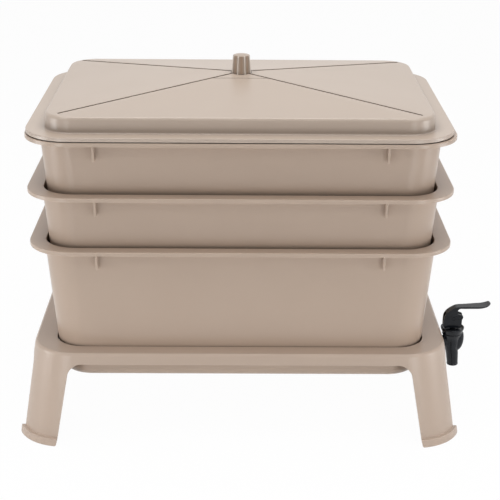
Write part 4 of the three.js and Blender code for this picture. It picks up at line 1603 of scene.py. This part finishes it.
    def body(self) -> Blank:
        """Shape the tap's body with its spout, shank and passages.

        Returns:
            The closed mesh.
        """
        place = self.place
        tip = place.shank_height - self.tip_drop
        soft = self.body_soft
        outside = self.upright([
            *((self.spout_tip_radius + proud, tip + rise, self.lean, edge)
              for proud, rise, edge in self.tip_levels),
            (self.spout_top_radius, self.seat_height - self.shoulder_drop, self.lean / 2, soft),
            (self.chamber_waist, self.seat_height, 0, soft),
            (self.chamber_radius, self.chamber_top - self.flare_height, 0, soft),
            *((self.flare_radius - inset, self.chamber_top - drop, 0, edge)
              for inset, drop, edge in self.flare_levels),
        ])
        inner, outer = place.pad_faces(self.form)
        nut_space = inner - self.washer_thickness
        end = nut_space - self.nut_thickness - 2 * SEAT_GAP - self.shank_reach
        radius = place.shank_radius
        thread = [(0.0, end, 0.0), (radius - self.shank_chamfer, end, 0.0)]
        x = end + self.shank_chamfer
        while x < nut_space:
            thread += [(radius, x, 0.0), (radius - self.thread_depth, x + self.thread_pitch / 2, 0.0)]
            x += self.thread_pitch
        thread += [(radius, x, 0.0), (radius, place.x, 0.0), (0.0, place.x, 0.0)]
        tube = lathed(thread).turned(place.along_shank())
        flange_x = outer + self.washer_thickness + 2 * SEAT_GAP
        flange = rod(self.flange_radius, flange_x, flange_x + self.flange)
        flange.bevelled(EASED, SMALL_BEVEL_STEPS)
        drop = skin([self.circle(self.spout_bore, tip - CUT_OVERRUN, self.lean),
                     self.circle(self.spout_bore, tip, self.lean),
                     self.circle(self.spout_bore, self.seat_height + JOIN_DEPTH)])
        well = self.over_axis(rod(self.chamber_bore, self.seat_height, self.chamber_top + CUT_OVERRUN))
        feed = rod(self.shank_bore, end - CUT_OVERRUN, place.x).turned(place.along_shank())
        solid = outside.shaped([self.swelling(), tube, flange.turned(place.along_shank())], Join.ADD)
        return solid.shaped([drop, well, feed], Join.CUT)

    def ring(self, radius: float, start: float, end: float, sides: int = ROUND_SIDES,
             soft: float = SMALL) -> Blank:
        """Make a ring on the shank.

        Args:
            radius: Its outer radius.
            start: Its left end along X.
            end: Its right end.
            sides: Number of its sides.
            soft: Rounding of its outer edges.

        Returns:
            The ring.
        """
        bore = rod(self.place.shank_radius + SEAT_GAP, start - CUT_OVERRUN, end + CUT_OVERRUN)
        ring = rod(radius, start, end, sides).bevelled(soft).shaped([bore], Join.CUT)
        return ring.turned(self.place.along_shank())

    def bonnet(self) -> Blank:
        """Turn the bonnet: a flared cup over the chamber with a plug inside it and a bore for the stem.

        Returns:
            The closed mesh.
        """
        foot = self.chamber_top + SEAT_GAP
        plug = self.chamber_bore - SEAT_GAP
        bore = self.stem_radius + self.slide_gap
        rim = self.bonnet_radius - self.bonnet_rim_width
        floor = self.bonnet_top - self.bonnet_recess
        swell, rise, swell_soft = self.bonnet_swell
        shoulder, edge, hollow = self.bonnet_softs
        profile = [
            (bore, foot - self.plug_drop, FINE), (plug, foot - self.plug_drop, SMALL), (plug, foot, CRISP),
            (self.bonnet_waist, foot, SMALL), (swell, foot + rise, swell_soft),
            (self.bonnet_radius, self.bonnet_top - self.bonnet_rim_height, shoulder),
            (self.bonnet_radius, self.bonnet_top, edge), (rim, self.bonnet_top, SMALL),
            (rim - self.bonnet_recess, floor, hollow), (bore, floor, CRISP),
        ]
        return self.over_axis(lathed(profile, ring=True))

    def stem(self) -> Blank:
        """Make the stem: a disc in the seat cup, a rod through the bonnet and a tongue for the pin.

        Returns:
            The closed mesh.
        """
        foot = self.seat_height + 2 * SEAT_GAP + self.cup_crown
        tongue_foot = self.bonnet_top + SEAT_GAP
        disc_top = foot + self.disc
        joint = tongue_foot + JOIN_DEPTH
        round_part = lathed([
            (0, foot, 0), (self.disc_radius, foot, SMALL), (self.disc_radius, disc_top, SMALL),
            (self.stem_radius, disc_top, SMALL), (self.stem_radius, joint, 0), (0, joint, 0)])
        half = self.tongue_half
        top = self.pin_height + self.tongue_top
        tongue = prism([(-half, tongue_foot, EASED), (half, tongue_foot, EASED), (half, top, half - SMALL),
                        (-half, top, half - SMALL)], self.tongue_width)
        tongue.bevelled(SMALL, SMALL_BEVEL_STEPS)
        bore = self.cross_rod(self.pin_radius + SEAT_GAP, self.tongue_width, self.pin_height)
        return self.over_axis(round_part.shaped([tongue], Join.ADD).shaped([bore], Join.CUT))

    def cross_rod(self, radius: float, half: float, z: float) -> Blank:
        """Make a rod along Y, half its length to each side, at a height."""
        return rod(radius, -half, half, PIN_SIDES).turned(ALONG_Y).moved(0, 0, z)

    def cup(self) -> Blank:
        """Turn the soft cup that the stem presses on the seat, with a lip over the stem's disc.

        Returns:
            The closed mesh.
        """
        foot = self.seat_height + SEAT_GAP
        top = foot + self.cup_height
        inner_foot = foot + self.cup_crown
        hold = self.disc_radius + SEAT_GAP
        neck = self.stem_radius + SEAT_GAP
        lip = inner_foot + SEAT_GAP + self.disc + SEAT_GAP
        crown, shoulder = self.cup_softs
        return self.over_axis(lathed([
            (0, foot, 0), (self.cup_radius, foot, crown), (self.cup_radius, top, shoulder), (neck, top, FINE),
            (neck, lip, CRISP), (hold, lip, CRISP), (hold, inner_foot, CRISP), (0, inner_foot, 0)]))

    def lever_plan(self) -> Blank:
        """Make the lever's outline from above: a fork that widens to a paddle with a round end.

        Returns:
            The closed mesh.
        """
        half, paddle = self.lever_width / 2, self.paddle_half
        start = -self.lever_back - CUT_OVERRUN
        soft = self.paddle_soft
        side = [(start, half, 0.0), (self.belly[0], half, soft), (self.paddle_reach, paddle, soft),
                (self.lever_reach, paddle, paddle)]
        outline = [(x, -y, edge) for x, y, edge in side] + side[::-1]
        return prism(outline, 2 * (self.pin_rise + self.tip_rise), self.paddle_steps).turned(ALONG_Y)

    def lever(self) -> Blank:
        """Shape the lever: a fork over the stem's tongue, a round back and a thin blade up to its tip.

        Returns:
            The closed mesh.
        """
        foot = SEAT_GAP - self.pin_rise
        back = -self.lever_back
        blade_x, blade_z, blade_soft = self.blade
        toe_soft, low_soft, high_soft = self.hook_softs
        low_hook, high_hook = self.hook_heights
        outline = [
            (back, foot, self.heel_soft), (self.lever_front, foot, self.heel_soft),
            (self.lever_front, self.hook_foot, toe_soft), (self.hook, low_hook, low_soft),
            (self.hook, high_hook, high_soft), self.notch, (self.notch[0], self.belly[1], self.throat_soft),
            self.belly, self.blade, (self.lever_reach, self.tip_rise - self.tip_depth, self.tip_softs[0]),
            (self.lever_reach - 2 * self.tip_depth, self.tip_rise, self.tip_softs[1]),
            (blade_x + self.blade_depth, blade_z + self.blade_depth, blade_soft), self.crown,
            *((x, z, self.back_soft) for x, z in self.back_line), (back, self.back_foot, self.back_soft),
        ]
        block = prism(outline, 2 * self.paddle_half).shaped([self.lever_plan()], Join.KEEP_COMMON)
        block.bevelled(self.edge_soft, angle=self.edge_angle)
        slot_half = self.tongue_width / 2 + self.slide_gap
        slot_top = math.hypot(self.tongue_half, self.tongue_top) + self.slide_gap
        slot = slab((back - CUT_OVERRUN, -slot_half, foot - CUT_OVERRUN),
                    (self.hook + CUT_OVERRUN, slot_half, slot_top))
        bore = self.cross_rod(self.pin_radius + SEAT_GAP, self.lever_width, 0)
        half_line = self.side_line / 2
        lines = []
        for z in self.side_lines:
            for side in (-1, 1):
                y = side * self.lever_width / 2
                lines.append(slab((back + 2 * self.edge_soft, y - self.side_line, z - half_line),
                                  (self.lever_front, y + self.side_line, z + half_line)))
        return self.over_axis(block.shaped([slot, bore, *lines], Join.CUT), self.pin_height)

    def pin(self) -> Blank:
        """Turn the pin through the lever's fork and the stem's tongue.

        Returns:
            The closed mesh.
        """
        half = self.lever_width / 2 - self.pin_inset
        profile = [(0, -half, 0), (self.pin_radius, -half, FINE), (self.pin_radius, half, FINE), (0, half, 0)]
        return self.over_axis(lathed(profile, PIN_SIDES).turned(ALONG_Y), self.pin_height)

    def dress(self) -> None:
        """Finish the tap's pieces, each on its body."""
        inner, outer = self.place.pad_faces(self.form)
        inner -= SEAT_GAP
        outer += SEAT_GAP
        nut_end = inner - self.washer_thickness - SEAT_GAP
        finished(self.body(), "tap_body_moulding", "tap_body", Body.BASE, TAP_PLASTIC)
        finished(self.ring(self.washer_radius, outer, outer + self.washer_thickness), "outer_washer_ring",
                 "tap_outer_washer", Body.BASE, SEAL_RUBBER)
        finished(self.ring(self.washer_radius, inner - self.washer_thickness, inner), "inner_washer_ring",
                 "tap_inner_washer", Body.BASE, SEAL_RUBBER)
        nut = self.ring(self.nut_radius, nut_end - self.nut_thickness, nut_end, self.nut_sides, self.nut_soft)
        finished(nut, "tap_nut_moulding", "tap_nut", Body.BASE, TAP_PLASTIC)
        finished(self.bonnet(), "bonnet_cup", "tap_bonnet", Body.BASE, TAP_PLASTIC)
        finished(self.stem(), "stem_and_tongue", "tap_stem", Body.TAP_STEM, TAP_PLASTIC)
        finished(self.cup(), "seat_cup_soft", "tap_seat_cup", Body.TAP_STEM, SILICONE)
        finished(self.lever(), "lever_moulding", "tap_lever", Body.TAP_LEVER, TAP_PLASTIC)
        finished(self.pin(), "lever_pin_turned", "tap_lever_pin", Body.TAP_LEVER, TAP_PLASTIC)


@dataclass(frozen=True)
class Lamp:
    """A soft rectangular studio lamp that points at a spot."""

    name: str
    place: Triple
    aim: Triple
    size: Pair
    power: float

    def light(self) -> None:
        """Hang the lamp."""
        data = bpy.data.lights.new(self.name, "AREA")
        data.shape = "RECTANGLE"
        data.size, data.size_y = self.size
        data.energy = self.power
        lamp = bpy.data.objects.new(self.name, data)
        lamp.location = self.place
        lamp.rotation_euler = (Vector(self.aim) - Vector(self.place)).to_track_quat("-Z", "Y").to_euler()
        bpy.context.scene.collection.objects.link(lamp)
        log.info("%s lamp, %.0f W", self.name, self.power)


@dataclass(frozen=True)
class Studio:
    """The pale floor, the white surroundings, the lamps and the camera."""

    floor_half: float = 12.0
    floor_color: Color = (0.95, 0.95, 0.95)
    floor_roughness: float = 0.9
    floor_specular: float = 0.1
    floor_glow_share: float = 0.975
    sky_color: Color = (1.0, 1.0, 1.0)
    sky_strength: float = 0.1
    camera_place: Triple = (-0.0266, -1.7883, 0.8725)
    camera_pitch: float = 20.517
    camera_heading: float = -0.511
    camera_roll: float = 0.447
    focal_pixels: float = 1317.48
    frame_pixels: float = 500.0
    sensor_width: float = 36.0
    view_reach: float = 48.0
    lamps: tuple[Lamp, ...] = (
        Lamp("overhead", (0.0, -0.15, 1.9), (0.0, 0.0, 0.3), (2.0, 1.6), 29.5),
        Lamp("low_left", (-0.62, -1.0, 0.14), (0.0, -0.45, -0.2), (0.2, 0.24), 1.6),
        Lamp("low_right", (0.62, -1.0, 0.14), (0.0, -0.45, -0.2), (0.2, 0.24), 1.6),
        Lamp("side_left", (-1.1, -0.35, 0.2), (-0.2, -0.1, 0.1), (0.4, 0.35), 2.6),
        Lamp("side_right", (1.1, -0.35, 0.2), (0.2, -0.1, 0.1), (0.4, 0.35), 2.6),
        Lamp("high_left", (-1.1, -1.3, 1.5), (0.0, 0.0, 0.25), (0.8, 0.8), 3.4),
        Lamp("high_right", (1.1, -1.3, 1.5), (0.0, 0.0, 0.25), (0.8, 0.8), 3.4),
    )

    def lay_floor(self) -> None:
        """Lay a pale floor that shows as white and keeps the object's shadow."""
        half = self.floor_half
        mesh = bpy.data.meshes.new("floor")
        corners = [(-half, -half, 0), (half, -half, 0), (half, half, 0), (-half, half, 0)]
        mesh.from_pydata(corners, [], [(0, 1, 2, 3)])
        floor = bpy.data.objects.new("floor", mesh)
        bpy.context.scene.collection.objects.link(floor)
        material = bpy.data.materials.new("pale floor")
        nodes = Nodes(material)
        matt = nodes.add("BsdfPrincipled", {
            "Base Color": (*self.floor_color, 1.0), "Roughness": self.floor_roughness,
            "Specular IOR Level": self.floor_specular})
        glow = nodes.add("Emission", {"Color": (*self.sky_color, 1.0), "Strength": 1.0})
        share = nodes.calculate("MULTIPLY", self.seen_white(nodes), self.floor_glow_share)
        both = nodes.add("MixShader", {0: share, 1: matt.outputs["BSDF"], 2: glow.outputs["Emission"]})
        nodes.add("OutputMaterial", {"Surface": both.outputs["Shader"]})
        mesh.materials.append(material)
        log.info("floor laid")

    def seen_white(self, nodes: Nodes) -> Socket:
        """Find whether the surroundings are seen directly, in a gloss or through something clear.

        Args:
            nodes: The node tree that asks.

        Returns:
            One where they are seen that way, and otherwise zero.
        """
        path = nodes.add("LightPath").outputs
        either = nodes.calculate("MAXIMUM", path["Is Camera Ray"], path["Is Glossy Ray"])
        return nodes.calculate("MAXIMUM", either, path["Is Transmission Ray"])

    def raise_sky(self) -> None:
        """Set white surroundings that show at full strength and light the object less."""
        world = bpy.data.worlds.new("studio")
        bpy.context.scene.world = world
        nodes = Nodes(world)
        lit = nodes.add("Background", {"Color": (*self.sky_color, 1.0), "Strength": self.sky_strength})
        shown = nodes.add("Background", {"Color": (*self.sky_color, 1.0), "Strength": 1.0})
        both = nodes.add("MixShader", {0: self.seen_white(nodes), 1: lit.outputs["Background"],
                                       2: shown.outputs["Background"]})
        nodes.add("OutputWorld", {"Surface": both.outputs["Shader"]})

    def set_camera(self) -> None:
        """Put the camera where the photograph was taken from."""
        data = bpy.data.cameras.new("camera")
        data.sensor_width = self.sensor_width
        data.lens = self.focal_pixels / self.frame_pixels * self.sensor_width
        data.clip_end = self.view_reach
        camera = bpy.data.objects.new("camera", data)
        turn = (Matrix.Rotation(math.radians(self.camera_heading), 4, "Z")
                @ Matrix.Rotation(math.radians(90 - self.camera_pitch), 4, "X")
                @ Matrix.Rotation(math.radians(self.camera_roll), 4, "Z"))
        camera.matrix_world = Matrix.Translation(self.camera_place) @ turn
        bpy.context.scene.collection.objects.link(camera)
        bpy.context.scene.camera = camera

    def set_up(self) -> None:
        """Set up the whole studio."""
        bpy.context.scene.view_settings.view_transform = "Standard"
        self.set_camera()
        self.lay_floor()
        self.raise_sky()
        for lamp in self.lamps:
            lamp.light()


def main() -> None:
    """Build the studio and the wormery, piece by piece."""
    logging.basicConfig(level=logging.INFO, format="%(name)s: %(message)s")
    Studio().set_up()
    Stand().dress()
    Collector().dress()
    WorkingTray("middle_working_tray", "middle_tray_moulding", Body.MIDDLE_TRAY).dress()
    WorkingTray("top_working_tray", "top_tray_moulding", Body.TOP_TRAY).dress()
    Lid().dress()
    Knob().dress()
    Tap().dress()


if __name__ == "__main__":
    main()
